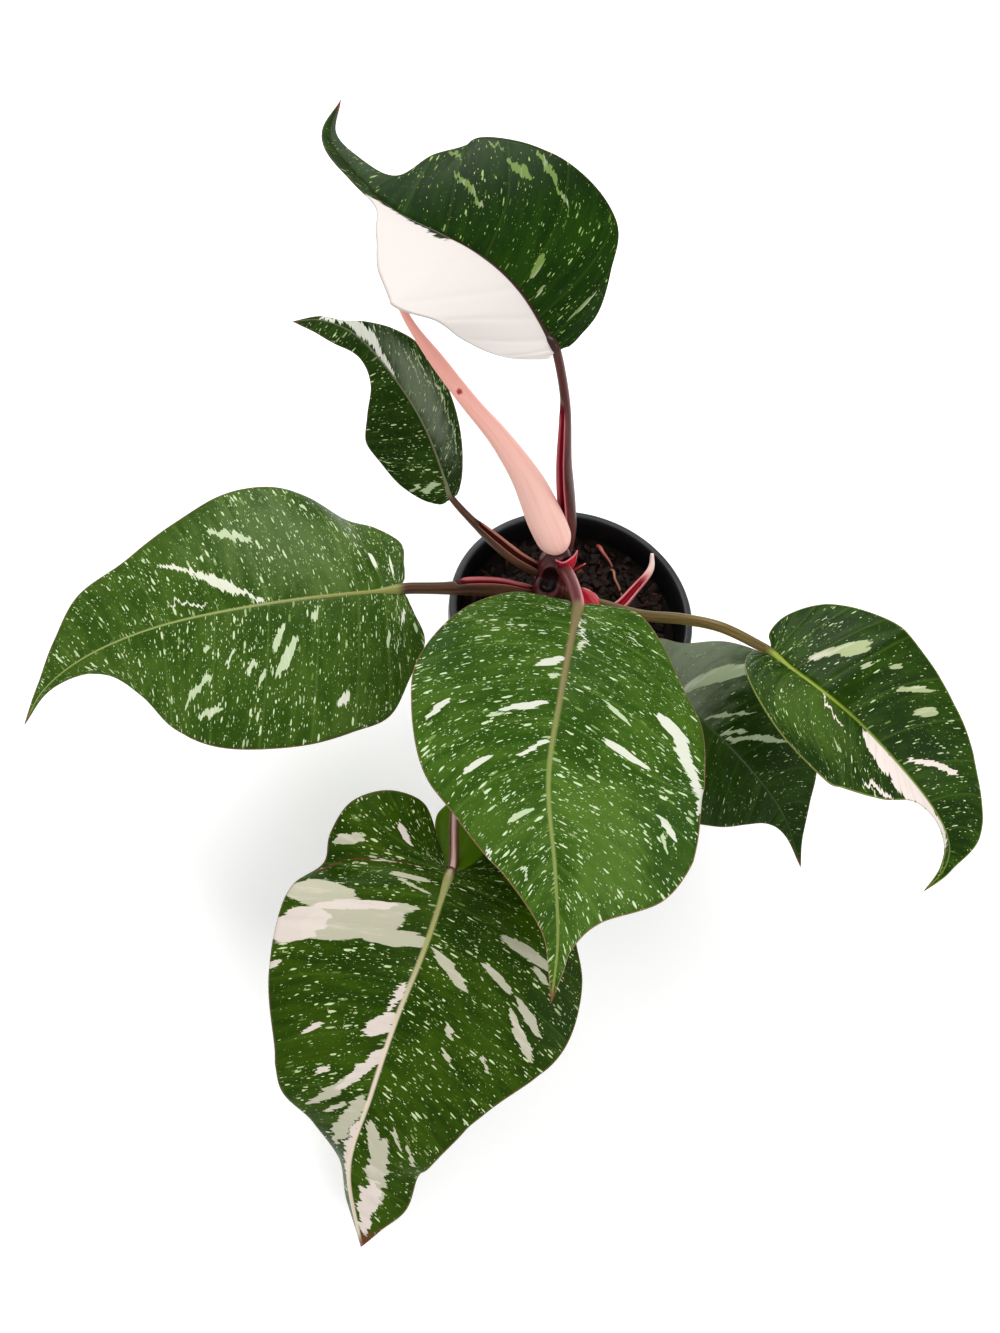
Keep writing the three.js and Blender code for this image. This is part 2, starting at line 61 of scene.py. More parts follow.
def toLinear(colour):
    values = []
    for c in colour:
        c = c / 255
        values.append(c / 12.92 if c <= 0.04045 else ((c + 0.055) / 1.055) ** 2.4)
    return (*values, 1.0)


def makeCamera():
    right = Vector(view["right"]).normalized()
    back = right.cross(Vector(view["up"])).normalized()
    up = back.cross(right)
    data = bpy.data.cameras.new("camera")
    data.sensor_fit = "VERTICAL"
    data.sensor_height = 36
    data.lens = view["lens"]
    data.clip_start = 0.01
    camera = bpy.data.objects.new("camera", data)
    turn = Matrix((right, up, back)).transposed().to_4x4()
    camera.matrix_world = Matrix.Translation(view["place"]) @ turn
    bpy.context.scene.collection.objects.link(camera)
    bpy.context.scene.camera = camera


def makeLamp(name, place, power, size):
    data = bpy.data.lights.new(name, "AREA")
    data.energy = power
    data.shape = "DISK"
    data.size = size
    lamp = bpy.data.objects.new(name, data)
    lamp.location = place
    aim = Vector((0, 0, 0.1)) - Vector(place)
    lamp.rotation_euler = aim.to_track_quat("-Z", "Y").to_euler()
    bpy.context.scene.collection.objects.link(lamp)


def makeWorld():
    world = bpy.data.worlds.new("studio")
    world.use_nodes = True
    background = world.node_tree.nodes["Background"]
    background.inputs["Color"].default_value = (1, 1, 1, 1)
    background.inputs["Strength"].default_value = light["sky"]
    bpy.context.scene.world = world
    bpy.context.scene.view_settings.view_transform = "Standard"


makeCamera()
makeWorld()
makeLamp("key", light["keyPlace"], light["keyPower"], light["keySize"])
makeLamp("fill", light["fillPlace"], light["fillPower"], light["fillSize"])
print("camera and light placed")

# node helpers


def newMaterial(name):
    material = bpy.data.materials.new(name)
    material.use_nodes = True
    tree = material.node_tree
    return material, tree, tree.nodes["Principled BSDF"]


def addNode(tree, kind, inputs=None, **settings):
    node = tree.nodes.new("ShaderNode" + kind)
    for key, value in settings.items():
        setattr(node, key, value)
    for key, value in (inputs or {}).items():
        if isinstance(value, bpy.types.NodeSocket):
            tree.links.new(value, node.inputs[key])
        else:
            node.inputs[key].default_value = value
    return node


def calc(tree, operation, a, b=0.0, c=0.0):
    return addNode(tree, "Math", {0: a, 1: b, 2: c}, operation=operation).outputs[0]


def fade(tree, value, low, high):
    inputs = {"Value": value, "From Min": low, "From Max": high}
    return addNode(tree, "MapRange", inputs, interpolation_type="SMOOTHSTEP").outputs["Result"]


def fadeOut(tree, value, low, high):
    return calc(tree, "SUBTRACT", 1.0, fade(tree, value, low, high))


def centred(tree, value, reach):
    return calc(tree, "MULTIPLY", calc(tree, "SUBTRACT", value, 0.5), reach)


def ranged(tree, value, low, high):
    inputs = {"Value": value, "To Min": low, "To Max": high}
    return addNode(tree, "MapRange", inputs).outputs["Result"]


def mixed(tree, factor, a, b):
    return addNode(tree, "Mix", {0: factor, 6: a, 7: b}, data_type="RGBA").outputs[2]


def blended(tree, factor, a, b):
    return mixed(tree, factor, toLinear(a), toLinear(b))


# a colour tinted with a tone where the factor is high
def tinted(tree, colour, factor, tone, share=None):
    if share is not None:
        factor = calc(tree, "MULTIPLY", factor, share)
    return mixed(tree, factor, colour, toLinear(tone))


def objectPlace(tree):
    return addNode(tree, "TexCoord").outputs["Object"]


def scaled(tree, vector, factors):
    return addNode(tree, "VectorMath", {0: vector, 1: factors}, operation="MULTIPLY").outputs[0]


def noiseOn(tree, vector, detail=2.0, roughness=0.5, scale=1.0, output="Fac"):
    inputs = {"Vector": vector, "Scale": scale, "Detail": detail, "Roughness": roughness}
    return addNode(tree, "TexNoise", inputs).outputs[output]


def attribute(tree, name):
    return addNode(tree, "Attribute", attribute_name=name).outputs["Fac"]


# the distance from a spot's middle, counted in its own half sizes
def spotDistance(tree, place, middle, half, turn=0.0):
    inputs = {"Vector": place, "Location": middle, "Rotation": (0, 0, turn), "Scale": half}
    local = addNode(tree, "Mapping", inputs, vector_type="TEXTURE").outputs["Vector"]
    return addNode(tree, "VectorMath", {0: local}, operation="LENGTH").outputs["Value"]


def setSurface(tree, surface, colour, roughness, specular):
    tree.links.new(colour, surface.inputs["Base Color"])
    surface.inputs["Specular IOR Level"].default_value = specular
    if isinstance(roughness, float):
        surface.inputs["Roughness"].default_value = roughness
    else:
        tree.links.new(roughness, surface.inputs["Roughness"])


def bump(tree, surface, height, strength, distance):
    inputs = {"Height": height, "Strength": strength, "Distance": distance}
    tree.links.new(addNode(tree, "Bump", inputs).outputs["Normal"], surface.inputs["Normal"])


# lines and pieces; places are in millimetres until finishPiece

mm = 0.001


def rowAt(rows, u):
    last = len(rows) - 1
    at = min(max(u, 0), 1) * last
    i = min(int(at), last - 1)
    w = at - i
    values = []
    for k, p1 in enumerate(rows[i]):
        p2 = rows[i + 1][k]
        p0 = rows[i - 1][k] if i > 0 else 2 * p1 - p2
        p3 = rows[i + 2][k] if i + 2 <= last else 2 * p2 - p1
        v0 = (p2 - p0) / 2
        v1 = (p3 - p1) / 2
        cubic = (2 * p1 - 2 * p2 + v0 + v1) * w ** 3
        square = (3 * p2 - 3 * p1 - 2 * v0 - v1) * w ** 2
        values.append(cubic + square + v0 * w + p1)
    return values


def smooth(low, high, value):
    t = min(max((value - low) / (high - low), 0), 1)
    return t * t * (3 - 2 * t)


def runningLengths(places):
    lengths = [0.0]
    for a, b in zip(places, places[1:]):
        lengths.append(lengths[-1] + (b - a).length)
    return lengths


# frames along a smooth line at even steps: place, forward, right and up
def makeGuide(points, facing, steps=240):
    samples = 1200
    fine = [Vector(rowAt(points, k / samples)) for k in range(samples + 1)]
    lengths = runningLengths(fine)
    places = []
    at = 0
    for k in range(steps + 1):
        want = lengths[-1] * k / steps
        while at < samples - 1 and lengths[at + 1] < want:
            at += 1
        part = (want - lengths[at]) / max(lengths[at + 1] - lengths[at], 1e-9)
        places.append(fine[at].lerp(fine[at + 1], part))
    look = [Vector(f).normalized() for f in facing]
    if len(look) == 1:
        look = look * 2
    frames = []
    for k, place in enumerate(places):
        forward = (places[min(k + 1, steps)] - places[max(k - 1, 0)]).normalized()
        turn = k / steps * (len(look) - 1)
        i = min(int(turn), len(look) - 2)
        up = look[i].lerp(look[i + 1], turn - i)
        up = (up - forward * up.dot(forward)).normalized()
        frames.append((place, forward, forward.cross(up), up))
    return {"frames": frames, "length": lengths[-1]}


def frameOn(guide, share):
    frames = guide["frames"]
    at = min(max(share, 0), 1) * (len(frames) - 1)
    i = min(int(at), len(frames) - 2)
    return [a.lerp(b, at - i) for a, b in zip(frames[i], frames[i + 1])]


# the share of a rod's radius at a distance from its rounded end
def roundEnd(left, tail):
    if not tail or left >= tail:
        return 1.0
    return math.sqrt(max(1 - (1 - left / tail) ** 2, 0))


def setUv(faces, layer, uv):
    for face in faces:
        for loop in face.loops:
            loop[layer].uv = uv[loop.vert]


def closeSkin(bm):
    bmesh.ops.remove_doubles(bm, verts=bm.verts, dist=0.01)
    bmesh.ops.holes_fill(bm, edges=[edge for edge in bm.edges if edge.is_boundary], sides=0)
    bmesh.ops.recalc_face_normals(bm, faces=bm.faces)


def addThickness(piece, thickness):
    shell = piece.modifiers.new("thickness", "SOLIDIFY")
    shell.thickness = thickness * mm
    shell.offset = 0
    return shell


def finishPiece(name, bm, materials, nodes=()):
    bmesh.ops.scale(bm, vec=(mm, mm, mm), verts=bm.verts)
    for face in bm.faces:
        face.smooth = True
    mesh = bpy.data.meshes.new(name)
    bm.to_mesh(mesh)
    bm.free()
    for material in materials:
        mesh.materials.append(material)
    piece = bpy.data.objects.new(name, mesh)
    bpy.context.scene.collection.objects.link(piece)
    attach(piece, "root")
    if nodes:
        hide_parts(*nodes)
    return piece


# leaves

bladeForm = {
    "thickness": 0.6,
    "veinSweep": 0.3,
    "veinBow": 0.55,
    "camber": 0.04,
    "stepsPerRow": 12,
    "columns": 40,
    "crowding": 1.35,  # columns stand closer at the midrib
    "mapColumn": 0.66,  # rows are measured along this share of the columns
    "veinDepth": 0.28,
    "veinWidth": 1.3,
    "ribDepth": 0.6,
    "ribTaper": 0.8,
    "wave": 0.5,
    "waveScale": 0.035,
}

leaves = [
    {
        "name": "top",
        "slot": "dark_leaf",
        "midrib": [
            (-34, 21, 231), (-53, 35, 243), (-74, 45, 248), (-103, 56, 247),
            (-126, 76, 244), (-143, 95, 245), (-144, 115, 249),
        ],
        "facing": [(0.1, -0.2, 1), (0, -0.1, 1), (0, 0, 1)],
        "veins": [
            (0, -1, 5, 1, -1, 5, 1), (0, 0, 10, 3, 1, 11, 3), (1, 4, 20, 6, 8, 26, 8),
            (5, 15, 32, 10, 20, 37, 11), (14, 25, 44, 13, 33, 43, 14), (27, 42, 47, 14, 50, 50, 14),
            (44, 60, 44, 13, 66, 38, 10), (62, 80, 38, 11, 78, 19, 5), (82, 96, 27, 8, 90, 6, 2),
            (103, 101, 11, 3, 110, 4, 1), (130, 127, 5, 1, 132, 4, 1), (159, 159, 0, 0, 159, 0, 0),
        ],
        "stalk": [
            (-10, 13, 102), (-10, 18, 113), (-11, 21, 127), (-14.5, 21.5, 144), (-20.5, 20, 173),
            (-26, 23, 203),
        ],
        "stalkRadius": [3.2, 3.6, 3.6, 2.8, 2, 1.8],
        "necked": False,
        "stalkSlot": "maroon_stalk",
        "sheath": {"from": 0.04, "to": 0.82, "opens": (-0.62, -0.72, 0.3)},
        "look": {
            "dark": (15, 40, 0), "light": (28, 57, 2), "dim": (64, 92, 22), "fleck": (160, 182, 108),
            "crowd": -0.04, "rib": (50, 28, 22), "ribFar": (46, 32, 12), "ribWidth": 1.3,
            "edge": (96, 74, 40), "gloss": 0.34, "mint": (112, 136, 68), "cream": (222, 214, 209),
            "mottle": 0.0,
        },
        # a patch runs from one place to another, each by its row and its share of the half width;
        # then its width in millimetres and its tint, from mint to cream
        "patches": [
            (0.0, -0.5, 0.61, -0.5, 400, 1), (0.50, -0.70, 0.77, -0.86, 36, 1),
            (0.642, 0.62, 0.579, 0.33, 2.7, 0),
            (0.547, 0.79, 0.516, 0.72, 4.2, 0), (0.509, 0.95, 0.472, 0.79, 3.0, 0),
            (0.478, 0.79, 0.440, 0.67, 1.9, 0), (0.447, 0.13, 0.453, 0.31, 3.0, 0),
            (0.409, 0.08, 0.415, 0.15, 2.3, 0), (0.283, 0.23, 0.277, 0.69, 1.5, 0),
            (0.692, 0.97, 0.635, 0.77, 2.3, 0), (0.579, 0.92, 0.553, 0.92, 1.5, 0),
        ],
    },
    {
        "name": "upper_left",
        "slot": "dark_leaf",
        "midrib": [
            (-68, 24, 127), (-86, 47, 142), (-104, 63, 152), (-128, 83, 155), (-149, 94, 150),
            (-167, 98, 141),
        ],
        "facing": [(-0.45, -0.45, 0.75), (-0.25, -0.35, 0.85)],
        "veins": [
            (0, 0, 4, 2, -1, 4, 0), (0, 2, 7, 4, 0, 8, 0), (2, 8, 12, 7, 6, 16, 0),
            (8, 20, 17, 9, 17, 24, 0), (18, 33, 20, 11, 31, 28, 0), (32, 48, 21, 12, 45, 29, 0),
            (48, 64, 19, 10, 57, 21, 0), (64, 77, 14, 8, 68, 11, 0), (82, 90, 8, 4, 82, 7, 0),
            (100, 103, 3, 1, 102, 9, 0), (118, 118, 2, 0, 120, 6, 0), (135, 135, 0, 0, 135, 0, 0),
        ],
        "stalk": [(-16, 7, 105), (-21.5, 5.5, 111.5), (-34.5, 6, 118), (-53.5, 15.5, 122)],
        "stalkRadius": [2.6, 3.1, 3.1, 2, 1.6],
        "necked": False,
        "stalkSlot": "maroon_stalk",
        "sheath": {"from": 0.04, "to": 0.78, "opens": (0.3, 0.1, 1)},
        "look": {
            "dark": (22, 44, 1), "light": (38, 62, 10), "dim": (68, 94, 36), "fleck": (190, 210, 155),
            "crowd": 0.02, "rib": (112, 112, 84), "ribWidth": 1.2,
            "edge": (96, 84, 60), "gloss": 0.3, "mint": (168, 184, 140), "cream": (226, 228, 214),
            # a painted sheen: a lighter, greyer patch over one half of the blade
            "sheenAndBloom": [(0.75, 0.9, 0.2, 0.75, 27)],
        },
        "patches": [
            (0.912, -0.08, 0.786, 0.85, 2.9, 1), (0.811, 0.82, 0.700, 0.42, 8.1, 1),
            (0.736, 0.38, 0.623, 0.05, 4.2, 1), (0.214, -0.62, 0.277, -0.15, 3.6, 0),
            (0.226, -0.90, 0.270, -0.49, 2.8, 0), (0.497, 0.85, 0.410, 0.72, 1.3, 0),
            (0.470, 0.80, 0.330, 0.70, 1.0, 0), (0.570, 0.86, 0.480, 0.62, 1.1, 0),
            (0.360, 0.80, 0.280, 0.66, 1.0, 0), (0.600, 0.70, 0.540, 0.50, 1.0, 0),
        ],
    },
    {
        "name": "left",
        "slot": "mid_leaf",
        "midrib": [
            (-80, -23, 113), (-111, -36, 114), (-144, -50, 112), (-180, -66, 105), (-207, -83, 96),
            (-222, -100, 88), (-228, -115, 78),
        ],
        "facing": [(0, -0.1, 1)],
        "veins": [
            (0, -2, 5, 0, -2, 5, 0), (0, -3, 14, 0, -4, 12, -2), (0, -4, 28, -6, -7, 26, -4),
            (2, 6, 42, -14, 2, 42, -6), (8, 20, 48, -14, 13, 58, -9), (20, 37, 56, -4, 30, 63, -10),
            (38, 54, 59, 3, 50, 66, -10), (60, 76, 58, 3, 74, 64, -10), (84, 97, 48, 3, 96, 58, -9),
            (108, 118, 36, 2, 115, 46, -7), (130, 138, 29, 1, 126, 28, -4),
            (150, 152, 15, 1, 139, 12, -2), (168, 168, 4, 0, 158, 4, 0), (186, 186, 0, 0, 186, 0, 0),
        ],
        "stalk": [
            (-15.5, 3, 95.5), (-25, -3, 103), (-36.5, -7, 108), (-50, -12, 110.5), (-61, -16.5, 112),
        ],
        "stalkRadius": [3, 3.8, 4, 2.9, 2.65],
        "stalkSlot": "olive_stalk",
        "sheath": {"from": 0.04, "to": 0.68, "opens": (0, 0.5, 0.9)},
        "look": {
            "dark": (44, 72, 12), "light": (66, 93, 27), "dim": (106, 134, 62), "fleck": (206, 222, 176),
            "crowd": 0.06, "rib": (136, 138, 70), "ribFar": (146, 158, 92), "ribWidth": 1.4,
            "edge": (140, 100, 72), "gloss": 0.34, "mint": (190, 206, 166), "cream": (226, 228, 208),
            # a painted sheen: a lighter patch over one half of the blade
            "sheenAndBloom": [(0.3, 0.55, 0.62, 0.55, 70)], "sheenAndBloomTone": (112, 134, 84), "sheenAndBloomShare": 0.34,
        },
        "patches": [
            (0.541, 0.0, 0.579, 0.17, 2.2, 1), (0.568, 0.10, 0.620, 0.40, 5.4, 1),
            (0.606, 0.34, 0.662, 0.66, 2.7, 1), (0.579, 0.72, 0.528, 0.51, 4.1, 0),
            (0.516, -0.15, 0.528, -0.33, 2.7, 0), (0.497, -0.28, 0.522, -0.51, 4.8, 0),
            (0.553, -0.38, 0.566, -0.49, 2.6, 0), (0.541, -0.46, 0.547, -0.56, 2.2, 0),
            (0.616, -0.46, 0.660, -0.74, 3.5, 0), (0.597, -0.72, 0.635, -0.79, 3.5, 0),
            (0.585, -0.28, 0.597, -0.38, 1.8, 0), (0.623, -0.26, 0.629, -0.31, 2.6, 0),
            (0.421, 0.82, 0.415, 0.77, 2.3, 0), (0.302, 0.44, 0.308, 0.23, 2.8, 1),
            (0.220, 0.51, 0.233, 0.15, 1.9, 1), (0.403, -0.69, 0.421, -0.79, 3.5, 1),
            (0.201, -0.26, 0.239, -0.36, 2.7, 1), (0.302, -0.33, 0.308, -0.44, 2.2, 0),
            (0.157, -0.59, 0.170, -0.74, 1.8, 0), (0.465, -0.08, 0.472, -0.15, 2.7, 0),
            (0.673, 0.23, 0.623, 0.08, 1.3, 1),
        ],
    },
    {
        "name": "front",
        "slot": "mid_leaf",
        "midrib": [
            (-1, -28, 140), (-1, -73, 140), (1, -109, 134), (11, -141, 123), (18, -165, 112),
            (21, -186, 100),
        ],
        "facing": [(0, -0.2, 1)],
        "veins": [
            (0, -1, 5, 0, -2, 5, 0), (0, 0, 14, 0, -3, 15, 0), (0, 1, 28, 0, -2, 27, 0),
            (3, 11, 43, 0, 9, 38, 0), (10, 26, 54, 0, 28, 49, 0), (22, 45, 61, 0, 48, 60, 0),
            (38, 62, 59, 0, 70, 63, 0), (56, 80, 51, 0, 92, 62, 0), (74, 93, 38, 0, 114, 57, 0),
            (94, 110, 26, 0, 131, 43, 0), (114, 127, 14, 0, 138, 17, 0), (134, 142, 6, 0, 147, 6, 0),
            (152, 155, 3, 0, 157, 3, 0), (169, 169, 0, 0, 169, 0, 0),
        ],
        "stalk": [(-11, 6, 114), (-9.5, 2.5, 121), (-6.8, -6, 128.6), (-3.5, -17.5, 135.6)],
        "stalkRadius": [3.2, 3.2, 3, 2.8],
        "necked": False,
        "stalkSlot": "pink_stalk",
        "look": {
            "dark": (44, 76, 12), "light": (70, 102, 28), "dim": (108, 140, 60), "fleck": (214, 230, 186),
            "crowd": 0.06, "rib": (132, 118, 76), "ribFar": (134, 150, 78), "ribWidth": 2.3,
            "edge": (176, 130, 104), "gloss": 0.34, "mint": (196, 212, 170), "cream": (226, 229, 212),
            # a painted sheen: a lighter green patch over one half of the blade
            "sheenAndBloom": [(0.55, -0.45, 0.8, -0.45, 60)], "sheenAndBloomTone": (92, 126, 46), "sheenAndBloomShare": 0.5,
        },
        "patches": [
            (0.434, 0.18, 0.415, 0.03, 3.8, 1), (0.459, 0.10, 0.453, 0.03, 2.1, 0),
            (0.516, 0.38, 0.509, 0.08, 3.3, 1), (0.522, 0.48, 0.522, 0.36, 2.0, 0),
            (0.491, 0.90, 0.478, 0.75, 3.2, 1), (0.465, -0.24, 0.478, -0.43, 2.4, 0),
            (0.597, 0.28, 0.579, 0.03, 2.4, 1), (0.585, 0.79, 0.585, 0.49, 2.4, 1),
            (0.528, -0.29, 0.528, -0.62, 3.2, 1), (0.428, -0.62, 0.434, -0.84, 5.2, 1),
            (0.436, -0.78, 0.480, -0.92, 9.2, 1), (0.459, -0.90, 0.570, -1.0, 6.0, 1),
            (0.673, 0.58, 0.679, 0.21, 2.0, 0),
            (0.384, -0.05, 0.358, -0.08, 2.5, 0), (0.679, 0.92, 0.700, 0.95, 1.6, 1),
            (0.736, 0.74, 0.761, 0.72, 1.6, 0), (0.635, -0.79, 0.648, -0.85, 1.6, 0),
            (0.616, -0.74, 0.629, -0.89, 2.4, 1), (0.252, -0.02, 0.365, -0.10, 1.6, 1),
        ],
    },
    {
        "name": "bottom",
        "slot": "dark_leaf",
        "midrib": [
            (-29, -139, 84), (-32, -170, 78), (-37, -200, 68), (-40, -228, 54), (-42, -255, 37),
            (-30, -281, 18),
        ],
        "facing": [(0, -0.3, 1)],
        "veins": [
            (0, -3, 4, 0, -3, 2, -2), (0, -14, 11, 0, -12, -9, -5), (0, -25, 21, 0, -25, -13, -8),
            (0, -25, 37, 0, -38, 2, -9), (0, -15, 50, 2, -28, 36, -5), (0, 0, 54, 0, -8, 53, -1),
            (3, 12, 53, -6, 10, 59, 0), (12, 27, 61, 2, 26, 67, 0), (28, 46, 61, 2, 45, 69, 0),
            (48, 66, 55, 0, 65, 62, 0), (68, 88, 44, 0, 86, 48, 0), (90, 106, 36, 0, 106, 36, 0),
            (110, 116, 19, -6, 132, 29, 0), (128, 130, 5, -12, 150, 22, 0),
            (145, 146, 3, -8, 157, 9, 0), (162, 162, 0, 0, 162, 0, 0),
        ],
        "stalk": [(-14, 0, 85.5), (-17, -18, 105), (-22, -52, 117), (-29, -90, 114), (-33, -114, 103)],
        "stalkRadius": [2.5, 2.4, 2.3, 2.2, 2.1],
        "stalkSlot": "pink_stalk",
        "look": {
            "dark": (30, 54, 0), "light": (52, 78, 5), "dim": (80, 108, 30), "fleck": (202, 216, 166),
            "crowd": 0.04, "rib": (158, 158, 96), "ribFar": (224, 208, 186), "ribWidth": 1.8,
            "ribTaper": 0.5, "edge": (140, 104, 78), "gloss": 0.32,
            "mint": (190, 188, 164), "cream": (224, 211, 202),
            # a fresh green lobe without flecks
            "sheenAndBloom": [(0.0, -0.5, 0.235, -0.5, 120)], "sheenAndBloomTone": (78, 114, 10), "sheenAndBloomShare": 0.9,
            "scars": [
                (0.43, 1.0, 0.388, 0.84, 1.0), (0.39, 0.86, 0.371, 0.5, 0.9),
                (0.371, 0.54, 0.363, 0.2, 0.8),
            ],
        },
        "patches": [
            (0.546, 1.05, 0.526, 0.68, 14.5, 1), (0.540, 0.82, 0.509, 0.18, 16.0, 0),
            (0.547, 0.40, 0.541, 0.0, 6.5, 0), (0.497, 0.40, 0.491, 0.10, 4.0, 0),
            (0.474, 1.05, 0.488, 0.55, 13.0, 0), (0.503, 0.80, 0.491, 0.24, 4.2, 1),
            (0.410, 0.40, 0.425, 0.12, 2.4, 0), (0.378, 0.62, 0.372, 0.40, 1.6, 1),
            (0.667, 0.20, 0.648, 0.0, 9.0, 1), (0.640, 0.07, 0.600, 0.03, 3.7, 1),
            (0.690, 0.0, 0.740, 0.33, 6.1, 1), (0.723, 0.22, 0.765, 0.78, 5.3, 0),
            (0.755, 0.10, 0.830, 0.55, 8.2, 0), (0.79, 0.02, 0.900, 0.15, 5.3, 1),
            (0.780, -0.08, 0.815, -0.50, 5.7, 0), (0.785, -0.38, 0.885, -0.52, 9.7, 0),
            (0.862, -0.46, 0.965, -0.29, 7.4, 1), (0.547, -0.05, 0.566, -0.30, 5.0, 0),
            (0.478, -0.38, 0.478, -0.78, 5.0, 0), (0.491, -0.62, 0.497, -0.74, 2.5, 0),
            (0.528, -0.36, 0.535, -0.56, 3.7, 0), (0.535, -0.60, 0.553, -0.84, 4.1, 0),
            (0.553, -0.60, 0.585, -0.87, 4.9, 0), (0.616, -0.31, 0.629, -0.41, 2.5, 0),
            (0.648, -0.41, 0.654, -0.51, 2.4, 0), (0.623, -0.64, 0.635, -0.74, 2.0, 0),
            (0.346, 0.95, 0.321, 0.74, 3.8, 0), (0.220, 0.62, 0.245, 0.36, 3.4, 1),
            (0.428, 0.36, 0.459, 0.08, 2.1, 0), (0.415, 0.41, 0.428, 0.18, 1.7, 0),
            (0.660, 0.74, 0.654, 0.60, 2.9, 1), (0.711, 0.59, 0.711, 0.49, 2.9, 1),
            (0.780, 0.59, 0.761, 0.28, 2.5, 0), (0.585, 1.0, 0.585, 0.92, 2.1, 1),
            (0.761, -0.36, 0.774, -0.56, 2.0, 0), (0.761, -0.62, 0.780, -0.84, 2.4, 0),
        ],
    },
    {
        "name": "right",
        "slot": "dark_leaf",
        "midrib": [
            (84, -32, 143), (105, -54, 155), (125, -66, 152), (152, -83, 142), (168, -92, 128),
            (172, -100, 117), (167, -109, 108),
        ],
        "facing": [(0, -0.1, 1), (0.1, -0.1, 1), (0, -0.3, 1)],
        "veins": [
            (0, 0, 4, 2, -3, 4, 0), (0, -1, 9, 6, -8, 7, 2), (0, 5, 18, 12, -9, 17, 5),
            (1, 15, 27, 16, -3, 29, 8), (5, 27, 34, 17, 8, 37, 10), (14, 38, 38, 15, 24, 42, 10),
            (28, 50, 38, 13, 42, 41, 10), (44, 62, 31, 10, 60, 38, 8), (60, 74, 21, 7, 77, 33, 7),
            (76, 85, 8, 3, 93, 26, 5), (92, 97, 3, 1, 107, 21, 3), (108, 110, 3, 1, 117, 14, 2),
            (124, 126, 2, 0, 126, 4, 0), (141, 141, 0, 0, 141, 0, 0),
        ],
        "stalk": [(-8, 4, 98), (11, -6.5, 113), (29, -14.5, 123.5), (46, -18, 133), (62, -23.5, 141.5)],
        "stalkRadius": [2.8, 2.7, 2.6, 2.4, 2.1],
        "stalkSlot": "olive_stalk",
        "look": {
            "dark": (22, 46, 0), "light": (44, 72, 7), "dim": (90, 118, 44), "fleck": (204, 220, 168),
            "crowd": -0.03, "rib": (134, 150, 44), "ribFar": (112, 132, 52), "ribWidth": 1.5,
            "edge": (150, 158, 84), "gloss": 0.3, "mint": (170, 182, 134), "cream": (238, 224, 217),
            # a painted sheen: a lighter patch over one half of the blade
            "sheenAndBloom": [(0.3, 0.5, 0.6, 0.5, 60)], "sheenAndBloomTone": (88, 116, 44), "sheenAndBloomShare": 0.34,
        },
        "patches": [
            (0.384, -0.16, 0.430, -0.66, 4.8, 0), (0.421, -0.38, 0.440, -0.60, 4.6, 0),
            (0.472, -0.39, 0.478, -0.53, 2.0, 0), (0.503, -0.60, 0.509, -0.74, 2.0, 0),
            (0.541, -0.50, 0.560, -0.86, 3.3, 0), (0.591, -0.52, 0.597, -0.74, 4.5, 0),
            (0.673, -0.17, 0.723, -0.66, 3.7, 1), (0.58, 0.14, 0.670, 0.46, 14.0, 1),
            (0.630, 0.30, 0.735, 0.66, 17.0, 1), (0.70, 0.3, 0.79, 0.72, 11.0, 1),
            (0.72, 0.60, 0.875, 0.68, 5.4, 1), (0.645, 0.74, 0.700, 0.92, 4.0, 1),
            (0.472, 0.04, 0.522, 0.25, 1.6, 1), (0.497, 0.49, 0.509, 0.64, 1.6, 0),
            (0.566, 0.82, 0.640, 0.99, 2.4, 1),
        ],
    },
    {
        "name": "lower_right",
        "slot": "dark_leaf",
        "midrib": [(40, -37, 103), (68, -47, 99), (96, -60, 87), (118, -71, 71), (134, -87, 53)],
        "facing": [(0, -0.1, 1), (0.2, -0.2, 1)],
        "veins": [
            (0, -3, 5, 0, -3, 5, 0), (0, -6, 10, 0, -6, 10, 0), (0, -8, 24, 0, -8, 22, 0),
            (2, 2, 36, 0, 6, 29, 0), (10, 18, 44, 0, 22, 42, 0), (22, 36, 46, 0, 42, 51, 0),
            (38, 54, 41, 0, 60, 52, 0), (55, 67, 32, 0, 76, 43, 0), (72, 79, 20, 0, 89, 29, 0),
            (88, 90, 10, 0, 97, 16, 0), (104, 104, 3, 0, 108, 6, 0), (122, 122, 0, 0, 122, 0, 0),
        ],
        "stalk": [(-8, 3, 90), (7, -13, 102), (24, -26, 108)],
        "stalkRadius": [2.5, 2.4, 2.2],
        "stalkSlot": "olive_stalk",
        "look": {
            "dark": (22, 44, 2), "light": (38, 62, 10), "dim": (62, 88, 34), "fleck": (160, 180, 132),
            "crowd": -0.06, "rib": (52, 74, 28), "ribWidth": 1.2,
            "edge": (96, 80, 52), "gloss": 0.3, "mint": (156, 170, 136), "cream": (200, 204, 190),
            # a greyish dull haze over one half of the blade
            "sheenAndBloom": [(0.0, -0.5, 0.5, -0.5, 500)], "sheenAndBloomShare": 0.78,
        },
        "patches": [
            (0.402, -0.12, 0.465, -0.80, 9.4, 0), (0.440, -0.56, 0.465, -0.78, 4.7, 0),
            (0.503, -0.03, 0.560, -0.36, 2.1, 0), (0.560, -0.03, 0.591, -0.26, 2.1, 0),
            (0.579, -0.02, 0.660, -0.58, 3.4, 0),
        ],
    },
]


mapShift = 0.5  # keeps the two halves apart on the map of veins


